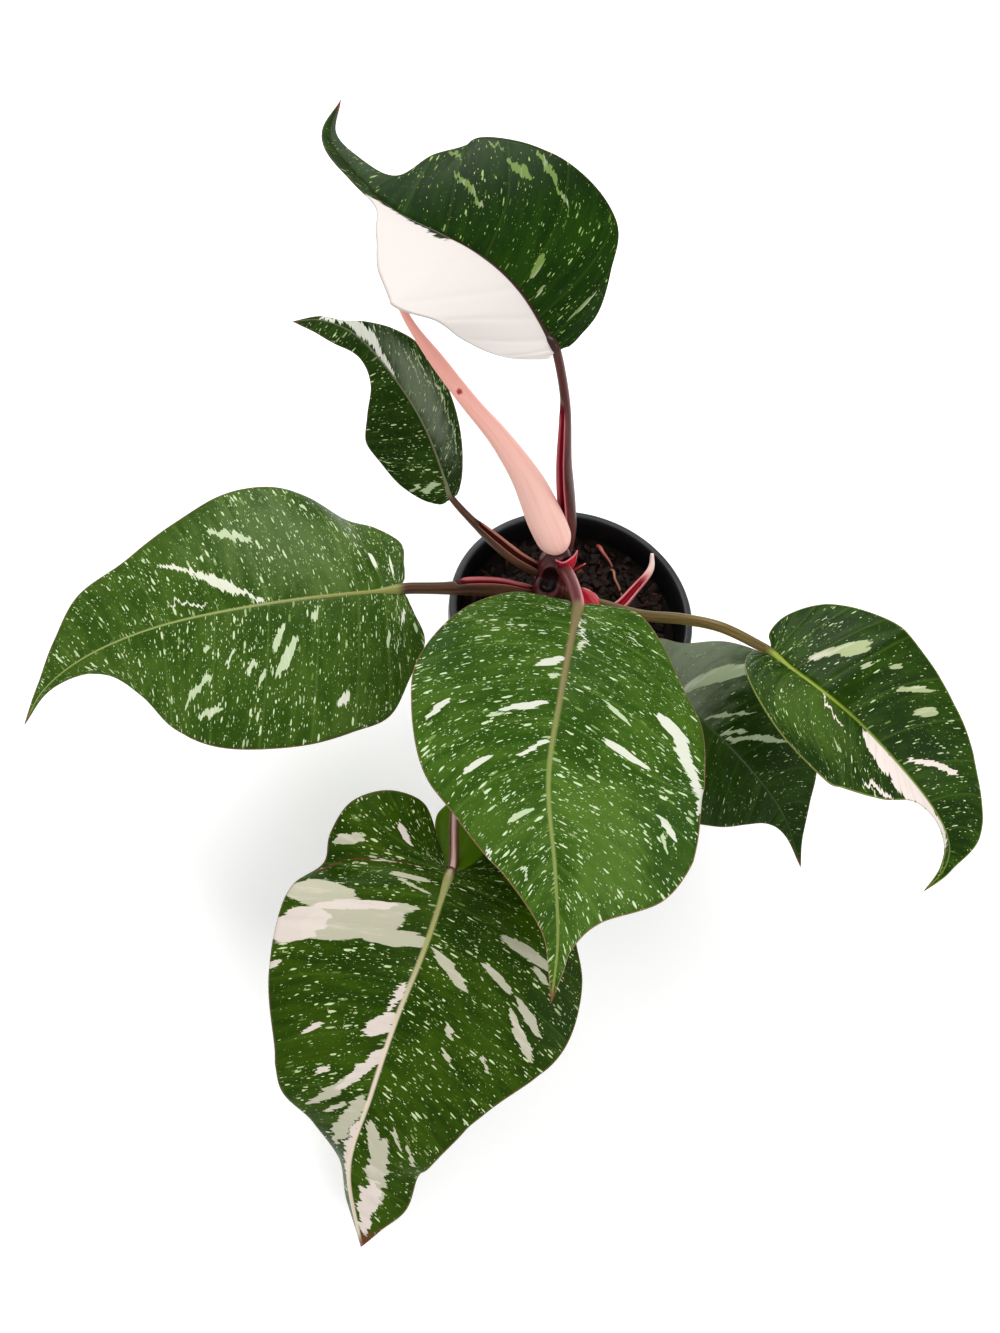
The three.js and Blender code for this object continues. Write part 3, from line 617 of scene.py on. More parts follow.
# a point of the blade's middle sheet: v goes from the midrib to the margin along one vein;
# with the blade's up, the share of its length and the distance from the midrib
def bladePoint(guide, row, side, v):
    start = row[0]
    along, out, rise = row[1:4] if side > 0 else row[4:7]
    a1 = start + bladeForm["veinSweep"] * (along - start)
    b1 = bladeForm["veinBow"] * out
    w0, w1, w2 = (1 - v) ** 2, 2 * v * (1 - v), v * v
    a = w0 * start + w1 * a1 + w2 * along
    b = w1 * b1 + w2 * out
    h = rise * v + bladeForm["camber"] * out * 4 * v * (1 - v)
    share = min(max(a / guide["length"], 0), 1)
    place, forward, right, up = frameOn(guide, share)
    point = place + forward * (a - share * guide["length"]) + right * (side * b) + up * h
    return point, up, share, math.hypot(b, min(a, 0))


def valueAt(values, share):
    return rowAt([(value,) for value in values], share)[0]


# a patch's middle, half sizes and turn on the blade's map of veins, in metres
def patchSpot(maps, u0, v0, u1, v1, width):
    side = -1 if v0 + v1 < 0 else 1
    across, reach = maps[side]
    ends = []
    for u, v in ((u0, v0), (u1, v1)):
        run = reach[round(u * (len(across) - 1))]
        ends.append(Vector((valueAt(across, u), valueAt(run, abs(v) ** (1 / bladeForm["crowding"])))) * mm)
    line = ends[1] - ends[0]
    middle = (ends[0] + ends[1]) / 2
    shift = mapShift if side < 0 else 0.0
    half = (line.length / 2 + 0.2 * min(width, 10) * mm, width / 2 * mm, 1)
    return (middle.x + shift, middle.y, 0), half, math.atan2(line.y, line.x)


def buildBlade(leaf):
    guide = makeGuide(leaf["midrib"], leaf["facing"])
    rows = (len(leaf["veins"]) - 1) * bladeForm["stepsPerRow"]
    columns = bladeForm["columns"]
    bm = bmesh.new()
    layers = {name: bm.verts.layers.float.new(name) for name in ("rib", "edge", "along", "vein")}
    uvLayer = bm.loops.layers.uv.new("veins")
    look = leaf["look"]
    maps = {}
    for side in (1, -1):
        table = []
        for i in range(rows + 1):
            row = rowAt(leaf["veins"], i / rows)
            table.append([bladePoint(guide, row, side, (j / columns) ** bladeForm["crowding"])
                          for j in range(columns + 1)])
        middle = int(columns * bladeForm["mapColumn"])
        across = runningLengths([line[middle][0] for line in table])
        reach = [runningLengths([entry[0] for entry in line]) for line in table]
        maps[side] = (across, reach)
        grid = bmesh.ops.create_grid(bm, x_segments=rows, y_segments=columns, size=1)["verts"]
        uv = {}
        for vert in grid:
            i = round((vert.co.x + 1) / 2 * rows)
            j = round((vert.co.y + 1) / 2 * columns)
            point, up, share, b = table[i][j]
            nearRow = table[min(i + 1, rows)][j][0] - table[max(i - 1, 0)][j][0]
            spacing = nearRow.length / 2 * bladeForm["stepsPerRow"]
            turn = i / bladeForm["stepsPerRow"]
            veinAway = abs(turn - round(turn)) * spacing
            edgeAway = reach[i][-1] - reach[i][j]
            ribWidth = look["ribWidth"] * (1.05 - look.get("ribTaper", bladeForm["ribTaper"]) * share)
            groove = math.exp(-((veinAway / bladeForm["veinWidth"]) ** 2))
            groove *= smooth(0, 6, edgeAway) * smooth(0, 3, b)
            ripple = noise.noise(point * bladeForm["waveScale"]) * bladeForm["wave"] * smooth(0, 12, b)
            relief = ripple - bladeForm["veinDepth"] * groove
            relief -= bladeForm["ribDepth"] * math.exp(-((b / ribWidth) ** 2)) * (1 - share)
            vert.co = point + up * relief
            vert[layers["rib"]] = b / ribWidth
            vert[layers["edge"]] = edgeAway
            vert[layers["along"]] = share
            vert[layers["vein"]] = veinAway
            uv[vert] = (across[i] * mm + (mapShift if side < 0 else 0), reach[i][j] * mm)
        faces = list({face for vert in grid for face in vert.link_faces})
        setUv(faces, uvLayer, uv)
        if side > 0:
            bmesh.ops.reverse_faces(bm, faces=faces)
    bmesh.ops.remove_doubles(bm, verts=bm.verts, dist=0.02)
    piece = finishPiece(f"blade_{leaf['name']}", bm, [], [f"leaf_{leaf['name']}"])
    shell = addThickness(piece, bladeForm["thickness"])
    shell.material_offset = 1
    shell.use_quality_normals = True
    return piece, maps


leafFinish = {
    # streaks: the width and length of a cell in millimetres, the share of cells that hold one,
    # and its largest size in cells
    "streaks": [(1.6, 7.5, 0.3, 0.36), (1.1, 3.2, 0.4, 0.31), (0.9, 1.4, 0.26, 0.23)],
    "crowding": 0.5,
    "drift": 0.8,
    "patchWarp": (0.0018, 0.006),  # how far margins wander across and along the veins, in metres
    "streakWarp": (0.0007, 0.0016),
    # scales of the noise on the map of veins
    "patchGrain": (520, 60, 1),
    "streakGrain": (800, 90, 1),
    "cloudGrain": (200, 50, 1),
    "driftGrain": (26, 22, 1),
    "crowdGrain": (60, 32, 1),
    "mottleGrain": (260, 30, 1),
    "waxGrain": (500, 300, 1),
    "poreGrain": (2600, 1800, 1),
    # how much each mark hides of what lies under it
    "fleckShare": 0.94,
    "underFleckShare": 0.5,
    "veinShare": 0.22,
    # the share of the painted sheen and haze patches
    "sheenAndBloomShare": 0.62,
    "patchShare": 0.95,
    "scarShare": 0.8,
    "ribShare": 0.9,
    "edgeShare": 0.6,
    "tipShare": 0.8,
    "mintMottle": 0.7,  # how much cream clouds a mint patch, and mint a cream one
    "mottle": 0.4,
    "underDull": 0.2,  # how much rougher the underside is
    "specular": 0.06,
    # the default grey tone of the painted sheen and of the haze patches
    "sheenAndBloomTone": (124, 134, 112),
    "scar": (104, 54, 40),
    "tip": (110, 52, 40),
}


# a place moved about by noise that is stretched along the veins
def warped(tree, place, scale, reach):
    shift = noiseOn(tree, scaled(tree, place, scale), detail=3, roughness=0.6, output="Color")
    shift = addNode(tree, "VectorMath", {0: shift, 1: (0.5, 0.5, 0.5)}, operation="SUBTRACT").outputs[0]
    shift = scaled(tree, shift, (2 * reach[0], 2 * reach[1], 0))
    return addNode(tree, "VectorMath", {0: place, 1: shift}, operation="ADD").outputs[0]


# one streak in some of the cells of a stretched pattern: its mask, and a draw from 0 to 1
def streakLayer(tree, place, cell, crowd):
    wide, long, share, size = cell
    inputs = {"Vector": scaled(tree, place, (1 / (wide * mm), 1 / (long * mm), 1)), "Scale": 1.0}
    cells = addNode(tree, "TexVoronoi", inputs, voronoi_dimensions="2D")
    draw = addNode(tree, "SeparateColor", {0: cells.outputs["Color"]})
    inputs = {"Value": calc(tree, "ADD", draw.outputs[0], crowd), "From Min": 1 - share,
              "From Max": 1.1, "To Min": 0.0, "To Max": size}
    limit = addNode(tree, "MapRange", inputs).outputs["Result"]
    inside = calc(tree, "SUBTRACT", limit, cells.outputs["Distance"])
    return fade(tree, inside, 0.0, 0.06), draw.outputs[1]


# how far a place lies inside the nearest of some patches: 1 at its middle, 0 at its margin
def patchField(tree, place, spots):
    field = None
    for spot in spots:
        inside = calc(tree, "SUBTRACT", 1.0, spotDistance(tree, place, *spot))
        field = inside if field is None else calc(tree, "MAXIMUM", field, inside)
    return field


# the midrib's tone, from the stalk to the tip
def ribTint(tree, along, look):
    return blended(tree, fade(tree, along, 0.15, 0.5), look["rib"], look.get("ribFar", look["rib"]))


def leafMaterial(leaf, maps, under):
    look = {**leafFinish, **leaf["look"]}
    material, tree, surface = newMaterial(("under_" if under else "upper_") + leaf["name"])
    flat = addNode(tree, "UVMap", uv_map="veins").outputs["UV"]
    place = warped(tree, flat, look["streakGrain"], look["streakWarp"])
    ragged = warped(tree, flat, look["patchGrain"], look["patchWarp"])
    along = attribute(tree, "along")
    tones = {key: look[key] for key in ("dark", "light", "dim", "fleck")}
    if under:  # paler and duller
        tones = {key: [c * 0.5 + 58 for c in tone] for key, tone in tones.items()}
    tones = {key: toLinear(tone) for key, tone in tones.items()}

    clouds = noiseOn(tree, scaled(tree, place, look["cloudGrain"]), detail=4, roughness=0.6)
    drift = noiseOn(tree, scaled(tree, flat, look["driftGrain"]), detail=1)
    clouds = calc(tree, "ADD", clouds, centred(tree, drift, look["drift"]))
    colour = mixed(tree, fade(tree, clouds, 0.3, 0.7), tones["dark"], tones["light"])
    veinMask = fadeOut(tree, attribute(tree, "vein"), 0.1, 0.9)
    colour = mixed(tree, calc(tree, "MULTIPLY", veinMask, look["veinShare"]), colour, tones["dim"])
    fleckShare = look["underFleckShare"] if under else look["fleckShare"]
    # patches tinted lighter: painted sheen, a lighter patch standing in for light reflected off the blade,
    # on upper_left, left, front and right; a greyish haze on lower_right; a fresh green lobe without
    # flecks on bottom
    if "sheenAndBloom" in look:
        haze = patchField(tree, flat, [patchSpot(maps, *spot) for spot in look["sheenAndBloom"]])
        if look["sheenAndBloomShare"] > 0.8:  # a lobe with no flecks
            haze = fade(tree, haze, -0.05, 0.1)
            fleckShare = calc(tree, "MULTIPLY_ADD", haze, -fleckShare, fleckShare)
        else:
            haze = calc(tree, "ADD", haze, calc(tree, "SUBTRACT", clouds, 0.5))
            haze = fade(tree, haze, -0.1, 0.75)
        colour = tinted(tree, colour, haze, look["sheenAndBloomTone"], look["sheenAndBloomShare"])

    crowd = noiseOn(tree, scaled(tree, flat, look["crowdGrain"]), detail=2)
    crowd = calc(tree, "ADD", centred(tree, crowd, look["crowding"]), look["crowd"])
    for cell in look["streaks"]:
        streak, draw = streakLayer(tree, place, cell, crowd)
        tone = mixed(tree, fade(tree, draw, 0.1, 0.65), tones["dim"], tones["fleck"])
        colour = mixed(tree, calc(tree, "MULTIPLY", streak, fleckShare), colour, tone)

    edgeShare = look["edgeShare"]
    for key, other, mottle in (("mint", "cream", look["mintMottle"]), ("cream", "mint", look["mottle"])):
        spots = [patchSpot(maps, *patch[:5]) for patch in leaf["patches"] if patch[5] == (key == "cream")]
        if not spots:
            continue
        tone = noiseOn(tree, scaled(tree, place, look["mottleGrain"]), detail=4, roughness=0.65)
        tone = calc(tree, "MULTIPLY", fade(tree, tone, 0.5, 0.72), mottle)
        cover = fade(tree, patchField(tree, ragged, spots), 0.0, 0.07)
        cover = calc(tree, "MULTIPLY", cover, look["patchShare"])
        colour = mixed(tree, cover, colour, blended(tree, tone, look[key], look[other]))
        edgeShare = calc(tree, "MULTIPLY_ADD", cover, -0.4, look["edgeShare"])
    if "scars" in look:
        scar = patchField(tree, place, [patchSpot(maps, *spot) for spot in look["scars"]])
        colour = tinted(tree, colour, fade(tree, scar, 0.0, 0.3), look["scar"], look["scarShare"])

    ribMask = calc(tree, "MULTIPLY", fadeOut(tree, attribute(tree, "rib"), 0.35, 1.0), look["ribShare"])
    colour = mixed(tree, ribMask, colour, ribTint(tree, along, look))
    edgeMask = fadeOut(tree, attribute(tree, "edge"), 0.2, 0.7)
    colour = tinted(tree, colour, edgeMask, look["edge"], edgeShare)
    colour = tinted(tree, colour, fade(tree, along, 0.955, 0.99), look["tip"], look["tipShare"])

    wax = noiseOn(tree, scaled(tree, flat, look["waxGrain"]), detail=3)
    gloss = look["gloss"] + (look["underDull"] if under else 0)
    setSurface(tree, surface, colour, ranged(tree, wax, gloss - 0.05, gloss + 0.09), look["specular"])
    pores = noiseOn(tree, scaled(tree, flat, look["poreGrain"]), detail=2)
    bump(tree, surface, pores, 0.18, 0.0002)
    return material


for leaf in leaves:
    blade, bladeMaps = buildBlade(leaf)
    for under in (False, True):
        blade.data.materials.append(leafMaterial(leaf, bladeMaps, under))
    print("blade", leaf["name"], "built")

# stalks and shoots

rodForm = {
    "sides": 40, "channelShare": 0.34, "lipAngle": 0.6, "lipRise": 0.3, "lipSharpness": 22,
    "ringSpacing": 1.2,
    "guideSteps": 480,
    "neck": 5,  # the stretch of stalk that lies in the blade's own line
    "sink": 15,  # how far along the midrib the stalk sinks into the blade
    "proud": 0.18,  # how far the midrib stands out of the upper face
    "ribReach": 0.93,
    "tail": 3,  # the length of the midrib's rounded end
}


# a point of the outline at the share t round it, and whether it lies in the channel
def rodOutline(radius, opened, t):
    lipAngle = rodForm["lipAngle"]
    outer = 1 - rodForm["channelShare"]
    if t <= outer:
        share = t / outer
        angle = lipAngle + (2 * math.pi - 2 * lipAngle) * share
        lip = 1 + opened * rodForm["lipRise"] * abs(2 * share - 1) ** 4
        return radius * lip * math.sin(angle), radius * lip * math.cos(angle), 0.0
    share = (t - outer) / (1 - outer)
    angle = lipAngle * (2 * share - 1)
    wide = math.sin(lipAngle) * (1 + opened * rodForm["lipRise"])
    x = (2 * share - 1) * wide * (1 - 0.16 * opened)
    x += 0.08 * opened * math.copysign(1, x) * math.sin(2 * math.pi * abs(share - 0.5))
    deep = 1.02 - 1.35 * math.sin(math.pi * share) ** 0.6
    flatX, flatY = math.sin(angle), math.cos(angle)
    return radius * (flatX + (x - flatX) * opened), radius * (flatY + (deep - flatY) * opened), opened


def buildRod(name, rod, materials, nodes):
    sheath = rod.get("sheath")
    facing = [sheath["opens"] if sheath else (0, 0, 1)]
    guide = makeGuide(rod["path"], facing, rodForm["guideSteps"])
    length = guide["length"]
    stalkLength = rod.get("stalkLength", length)
    rings = max(24, round(length / rodForm["ringSpacing"]))
    bm = bmesh.new()
    names = ("inner", "lip", "onBlade", "along", "paintedLitSide")
    layers = {key: bm.verts.layers.float.new(key) for key in names}
    paintedLightFrom = Vector(rod.get("paintedLightFrom", (0, 0, 1))).normalized()
    uvLayer = bm.loops.layers.uv.new("around")
    grid = bmesh.ops.create_grid(bm, x_segments=rings, y_segments=rodForm["sides"], size=1)["verts"]
    uv = {}
    for vert in grid:
        at = (vert.co.x + 1) / 2
        share = min(at * length / stalkLength, 1)
        t = (vert.co.y + 1) / 2
        radius = valueAt(rod["radius"], share)
        past = at * length - stalkLength
        if "ribRadius" in rod:
            radius += (rod["ribRadius"](past) - radius) * smooth(0, rodForm["sink"], past)
        radius *= roundEnd(length * (1 - at), rod.get("tail", 0))
        opened = 0.0
        if sheath:
            opened = smooth(sheath["from"], sheath["from"] + 0.1, share)
            opened *= 1 - smooth(sheath["to"] - 0.1, sheath["to"], share)
        x, y, inside = rodOutline(radius, opened, t)
        place, forward, right, up = frameOn(guide, at)
        vert.co = place + right * x + up * y
        vert[layers["inner"]] = inside
        edgeAway = min(abs(t - (1 - rodForm["channelShare"])), t, 1 - t)
        vert[layers["lip"]] = opened * max(1 - edgeAway * rodForm["lipSharpness"], 0)
        if "ribRadius" in rod:
            vert[layers["onBlade"]] = smooth(-2, 3, past)
            vert[layers["along"]] = max(past, 0) / rod["bladeLength"]
        # how far the outline faces the direction of the painted lit side
        vert[layers["paintedLitSide"]] = (right * x + up * y).normalized().dot(paintedLightFrom) / 2 + 0.5
        uv[vert] = (t, length * at * mm)
    setUv(bm.faces, uvLayer, uv)
    closeSkin(bm)
    return finishPiece(name, bm, materials, nodes)


stalkFinish = {
    "inside": (150, 40, 60),
    # where the painted lit side begins and where it is full
    "paintedLitReach": (0.72, 0.98),
    "streakGrain": (8, 30, 1),
    "ridgeGrain": (24, 30, 1),
    "speckShare": 0.12,
    "roughness": 0.34,
    "specular": 0.25,
}
stalkLooks = {
    "top": {
        "dark": (60, 26, 24), "light": (110, 56, 50), "inside": (150, 26, 48), "lip": (216, 112, 122),
    },
    "upper_left": {
        "dark": (58, 34, 22), "light": (94, 62, 38), "inside": (70, 28, 22), "lip": (200, 132, 116),
    },
    "left": {
        "dark": (56, 32, 18), "light": (92, 62, 32), "inside": (92, 20, 28), "lip": (212, 112, 116),
    },
    "front": {
        "dark": (92, 34, 38), "light": (122, 58, 60), "lip": (220, 140, 146),
        # a painted lit flank on the side that faces the given direction
        "paintedLitSide": (206, 130, 132), "paintedLightFrom": (1, -0.1, 0.35),
    },
    "bottom": {
        "dark": (80, 44, 32), "light": (118, 70, 54), "lip": (220, 150, 150),
        # a painted highlight stripe along the top, where the stalk faces up
        "paintedLitSide": (222, 186, 172), "paintedLightFrom": (-0.1, -0.35, 1), "paintedLitReach": (0.95, 1.06),
    },
    "right": {"dark": (82, 66, 30), "light": (122, 104, 52), "lip": (190, 120, 110)},
    "lower_right": {"dark": (66, 52, 28), "light": (104, 90, 48), "lip": (190, 120, 110)},
    "shoot": {
        "dark": (200, 104, 106), "light": (232, 148, 146), "inside": (170, 22, 48),
        "lip": (236, 164, 160), "tip": (246, 214, 204), "tipReach": (0.052, 0.062),
    },
    "crown": {
        "dark": (168, 16, 38), "light": (204, 40, 60), "inside": (168, 16, 38), "lip": (232, 130, 138),
    },
}


def stalkMaterial(name, ownLook, blade=None):
    look = {**stalkFinish, **ownLook}
    material, tree, surface = newMaterial("stalk_" + name)
    flat = addNode(tree, "UVMap", uv_map="around").outputs["UV"]
    streaks = noiseOn(tree, scaled(tree, flat, look["streakGrain"]), detail=4, roughness=0.6)
    colour = blended(tree, fade(tree, streaks, 0.3, 0.75), look["dark"], look["light"])
    specks = fade(tree, noiseOn(tree, objectPlace(tree), detail=1, scale=1400), 0.68, 0.74)
    colour = tinted(tree, colour, specks, look["lip"], look["speckShare"])
    # a painted lit side: the stalk is lighter where it faces a given direction, as if lit from there
    if "paintedLitSide" in look:
        side = calc(tree, "ADD", attribute(tree, "paintedLitSide"), calc(tree, "MULTIPLY", streaks, 0.16))
        colour = tinted(tree, colour, fade(tree, side, *look["paintedLitReach"]), look["paintedLitSide"])
    colour = tinted(tree, colour, attribute(tree, "inner"), look["inside"])
    colour = tinted(tree, colour, fade(tree, attribute(tree, "lip"), 0.5, 0.85), look["lip"])
    if "tip" in look:
        ending = addNode(tree, "SeparateXYZ", {0: flat}).outputs["Y"]
        colour = tinted(tree, colour, fade(tree, ending, *look["tipReach"]), look["tip"])
    if blade:
        ribTone = ribTint(tree, attribute(tree, "along"), blade)
        colour = mixed(tree, attribute(tree, "onBlade"), colour, ribTone)
    setSurface(tree, surface, colour, look["roughness"], look["specular"])
    ridges = noiseOn(tree, scaled(tree, flat, look["ridgeGrain"]), detail=3)
    bump(tree, surface, ridges, 0.12, 0.0003)
    return material


# the stalk's line carried on along the midrib, sinking until only its top stands out of the blade
def stalkRod(leaf):
    guide = makeGuide(leaf["midrib"], leaf["facing"])
    base, forward = guide["frames"][0][:2]
    ending = leaf["stalkRadius"][-1]
    stalk = [*leaf["stalk"]]
    if leaf.get("necked", True):
        stalk.append(tuple(base - forward * rodForm["neck"]))
    reach = guide["length"] * rodForm["ribReach"]

    def ribRadius(past):
        taper = leaf["look"].get("ribTaper", bladeForm["ribTaper"])
        return leaf["look"]["ribWidth"] * (1 - taper * min(max(past, 0) / reach, 1))

    path = [*stalk, tuple(base)]
    for past in (6, 14, 26, *(reach * k / 7 for k in range(2, 8))):
        place, _, _, up = frameOn(guide, past / guide["length"])
        sunk = smooth(0, rodForm["sink"], past)
        radius = ending + (ribRadius(past) - ending) * sunk
        path.append(tuple(place + up * sunk * (rodForm["proud"] - radius)))
    return {
        "path": path,
        "stalkLength": makeGuide([*stalk, tuple(base)], [(0, 0, 1)])["length"],
        "bladeLength": guide["length"],
        "radius": leaf["stalkRadius"],
        "paintedLightFrom": stalkLooks[leaf["name"]].get("paintedLightFrom", (0, 0, 1)),
        "ribRadius": ribRadius,
        "sheath": leaf.get("sheath"),
        "tail": rodForm["tail"],
    }


for leaf in leaves:
    material = stalkMaterial(leaf["name"], stalkLooks[leaf["name"]], leaf["look"])
    buildRod(f"petiole_{leaf['name']}", stalkRod(leaf), [material],
             [f"stalk_{leaf['name']}"])

sideShoot = {
    "path": [
        (-6, 9.5, 95), (4, 6.5, 99), (9.7, 4.3, 97), (16.6, 4, 93), (22.6, 9.4, 92), (28, 18.7, 94),
        (34, 29.5, 99.5), (33, 36, 105),
    ],
    "radius": [2.2, 2.7, 2.8, 2.7, 2.6, 2.2, 1.8, 0.8],
    "sheath": {"from": 0.08, "to": 0.84, "opens": (0.2, 0.1, 1)},
}
buildRod("shoot_scale", sideShoot, [stalkMaterial("shoot", stalkLooks["shoot"])],
         ["side_shoot"])

# thin sheath flaps at the crown, each laid through rows of places from its root to its free end
flaps = {
    "thickness": 0.5,
    "collar": [
        [(-9.7, 3.4, 119.1), (-7.7, 3.2, 118.6), (-5.6, 5.8, 117), (-4.8, 7.8, 117)],
        [(-12.5, 2.6, 123.5), (-9.3, 1.2, 123.2), (-5.8, 5.0, 122), (-4.6, 8.2, 122.4)],
        [(-14.3, 2.0, 127.9), (-10.5, 1.0, 128.6), (-6.6, 5.8, 128.4), (-5.2, 9.0, 129.4)],
    ],
    "stalk_scale": [
        [(-0.6, 2.4, 109.5), (1.2, 1.6, 111.5), (3.0, 0.4, 110.5)],
        [(1.2, -5.0, 112.5), (4.4, -3.8, 115), (7.4, -1.0, 113)],
        [(5.2, -11.0, 114.5), (8.4, -9.6, 117), (11.2, -6.6, 115)],
        [(11.0, -16.4, 115.5), (13.4, -15.6, 117.4), (15.4, -13.8, 116.4)],
    ],
    "small_bud": [
        [(-4.6, 11.0, 109), (-4.0, 11.6, 110.6), (-3.2, 12.6, 110.4)],
        [(-2.4, 12.2, 111), (-1.8, 12.8, 112.2), (-1.2, 13.6, 111.8)],
        [(0.0, 13.8, 112.4), (0.5, 14.4, 113), (0.9, 15.0, 112.8)],
    ],
}


def buildFlap(name, rows):
    bm = bmesh.new()
    layers = {key: bm.verts.layers.float.new(key) for key in ("lip", "inner", "paintedLitSide", "onBlade")}
    uvLayer = bm.loops.layers.uv.new("around")
    grid = bmesh.ops.create_grid(bm, x_segments=36, y_segments=20, size=1)["verts"]
    uv = {}
    for vert in grid:
        s = (vert.co.x + 1) / 2
        t = (vert.co.y + 1) / 2
        vert.co = Vector(rowAt([rowAt(row, t) for row in rows], s))
        vert[layers["lip"]] = 1 - smooth(0, 0.16, min(t, 1 - t, 1 - s))
        uv[vert] = (t, s * 0.012)
    setUv(bm.faces, uvLayer, uv)
    piece = finishPiece(name, bm, [stalkMaterial(name, stalkLooks["crown"])])
    addThickness(piece, flaps["thickness"])


for flapName in ("collar", "stalk_scale", "small_bud"):
    buildFlap(flapName, flaps[flapName])
print("stalks built")

# rolled new leaf

rolledLeaf = {
    "path": [
        (-108, 50, 229), (-105, 48, 221), (-96, 42.5, 209), (-82.5, 38, 196), (-66.5, 32, 183),
        (-50, 27, 170), (-35, 20.5, 156), (-23.5, 13, 142), (-12.6, 7.4, 126.8),
    ],
    "radius": [0.7, 1.4, 2.1, 3.2, 3.6, 4, 4.9, 6.2, 7.7, 8.4, 7.4],
    "tail": 9,
    "lapStart": 0.3,  # where the free margin starts, as a share of a turn, and how far it winds
    "lapTurn": 0.45,
    "lapHeight": 0.4,
    "rings": 150,
    "sides": 72,
    "tones": ((248, 174, 160), (252, 202, 189)),  # from the tip to the foot
    "streak": (232, 140, 134),
    "streakShare": 0.3,
    "seam": (222, 120, 120),
    "seamShare": 0.25,
    "nick": (-70.6, 30.8, 188.8),  # a small crimson mark
    "nickTone": (176, 44, 60),
    "roughness": 0.42,
    "specular": 0.25,
}


def buildRolledLeaf():
    guide = makeGuide(rolledLeaf["path"], [(0, -0.4, 1)])
    sizes = {"x_segments": rolledLeaf["rings"], "y_segments": rolledLeaf["sides"]}
    bm = bmesh.new()
    uvLayer = bm.loops.layers.uv.new("around")
    lap = bm.verts.layers.float.new("lap")
    grid = bmesh.ops.create_grid(bm, size=1, **sizes)["verts"]
    uv = {}
    for vert in grid:
        share = (vert.co.x + 1) / 2
        t = (vert.co.y + 1) / 2
        turn = (t - rolledLeaf["lapStart"] - rolledLeaf["lapTurn"] * share) % 1
        step = rolledLeaf["lapHeight"] * smooth(0, 0.03, turn) * (1 - turn) * smooth(0, 0.1, share)
        radius = valueAt(rolledLeaf["radius"], share) + step - rolledLeaf["lapHeight"] / 2
        radius *= roundEnd(guide["length"] * (1 - share), rolledLeaf["tail"])
        angle = 2 * math.pi * t
        place, forward, right, up = frameOn(guide, share)
        vert.co = place + right * (radius * math.sin(angle)) + up * (radius * math.cos(angle))
        vert[lap] = min(turn, 1 - turn)
        uv[vert] = (t, share)
    setUv(bm.faces, uvLayer, uv)
    closeSkin(bm)
    return bm


def rolledMaterial():
    material, tree, surface = newMaterial("rolled_leaf")
    flat = addNode(tree, "UVMap", uv_map="around").outputs["UV"]
    lengthwise = addNode(tree, "SeparateXYZ", {0: flat}).outputs["Y"]
    cloud = noiseOn(tree, scaled(tree, flat, (5, 7, 1)), detail=4)
    drift = calc(tree, "ADD", lengthwise, centred(tree, cloud, 0.3))
    colour = blended(tree, fade(tree, drift, 0.2, 0.85), *rolledLeaf["tones"])
    streaks = fade(tree, noiseOn(tree, scaled(tree, flat, (26, 3, 1)), detail=2), 0.45, 0.75)
    colour = tinted(tree, colour, streaks, rolledLeaf["streak"], rolledLeaf["streakShare"])
    seam = fadeOut(tree, attribute(tree, "lap"), 0.0, 0.02)
    colour = tinted(tree, colour, seam, rolledLeaf["seam"], rolledLeaf["seamShare"])
    solid = objectPlace(tree)
    inputs = {0: solid, 1: [c * mm for c in rolledLeaf["nick"]]}
    away = addNode(tree, "VectorMath", inputs, operation="DISTANCE").outputs["Value"]
    away = calc(tree, "ADD", away, calc(tree, "MULTIPLY", noiseOn(tree, solid, scale=900), 0.0012))
    colour = tinted(tree, colour, fadeOut(tree, away, 0.0014, 0.0024), rolledLeaf["nickTone"])
    setSurface(tree, surface, colour, rolledLeaf["roughness"], rolledLeaf["specular"])
    rings = noiseOn(tree, scaled(tree, flat, (1.5, 34, 1)), detail=2)
    bump(tree, surface, rings, 0.25, 0.0006)
    return material


finishPiece("rolled_blade", buildRolledLeaf(), [rolledMaterial()], ["rolled_new_leaf"])
print("rolled leaf built")

# pot

potForm = {
    "height": 95, "rimRadius": 60, "rimWidth": 4, "rimDrop": 9, "baseRadius": 42, "wall": 1.5,
    "floor": 2, "sides": 160, "holes": 6, "holeRadius": 3.5, "holeCircle": 27,
    "footBevel": 1.5, "rimBevel": 0.8, "rimDepth": 6,
    "tones": ((40, 42, 44), (52, 54, 57)),
    "dust": (120, 108, 96),
    "dustShare": 0.25,
    "inside": (11, 11, 12),  # the inner wall is painted darker, as shade
    "roughness": (0.34, 0.5),
    "specular": 0.3,
}


def innerRadius(z):
    foot = potForm["baseRadius"] - potForm["wall"]
    top = potForm["rimRadius"] - potForm["rimWidth"]
    return foot + (top - foot) * z / potForm["height"]


def spinProfile(bm, profile, sides):
    verts = [bm.verts.new((r, 0, z)) for r, z in profile]
    edges = [bm.edges.new(pair) for pair in zip(verts, verts[1:])]
    bmesh.ops.spin(bm, geom=verts + edges, axis=(0, 0, 1), cent=(0, 0, 0), angle=2 * math.pi,
                   steps=sides, use_merge=True)
    bmesh.ops.remove_doubles(bm, verts=bm.verts, dist=0.001)
    bmesh.ops.recalc_face_normals(bm, faces=bm.faces)


def bevelSharp(bm, offset, angle=0.6, segments=3):
    sharp = [edge for edge in bm.edges if edge.is_manifold and edge.calc_face_angle(0) > angle]
    bmesh.ops.bevel(bm, geom=sharp, offset=offset, segments=segments, profile=0.5, affect="EDGES",
                    material=-1, clamp_overlap=True)


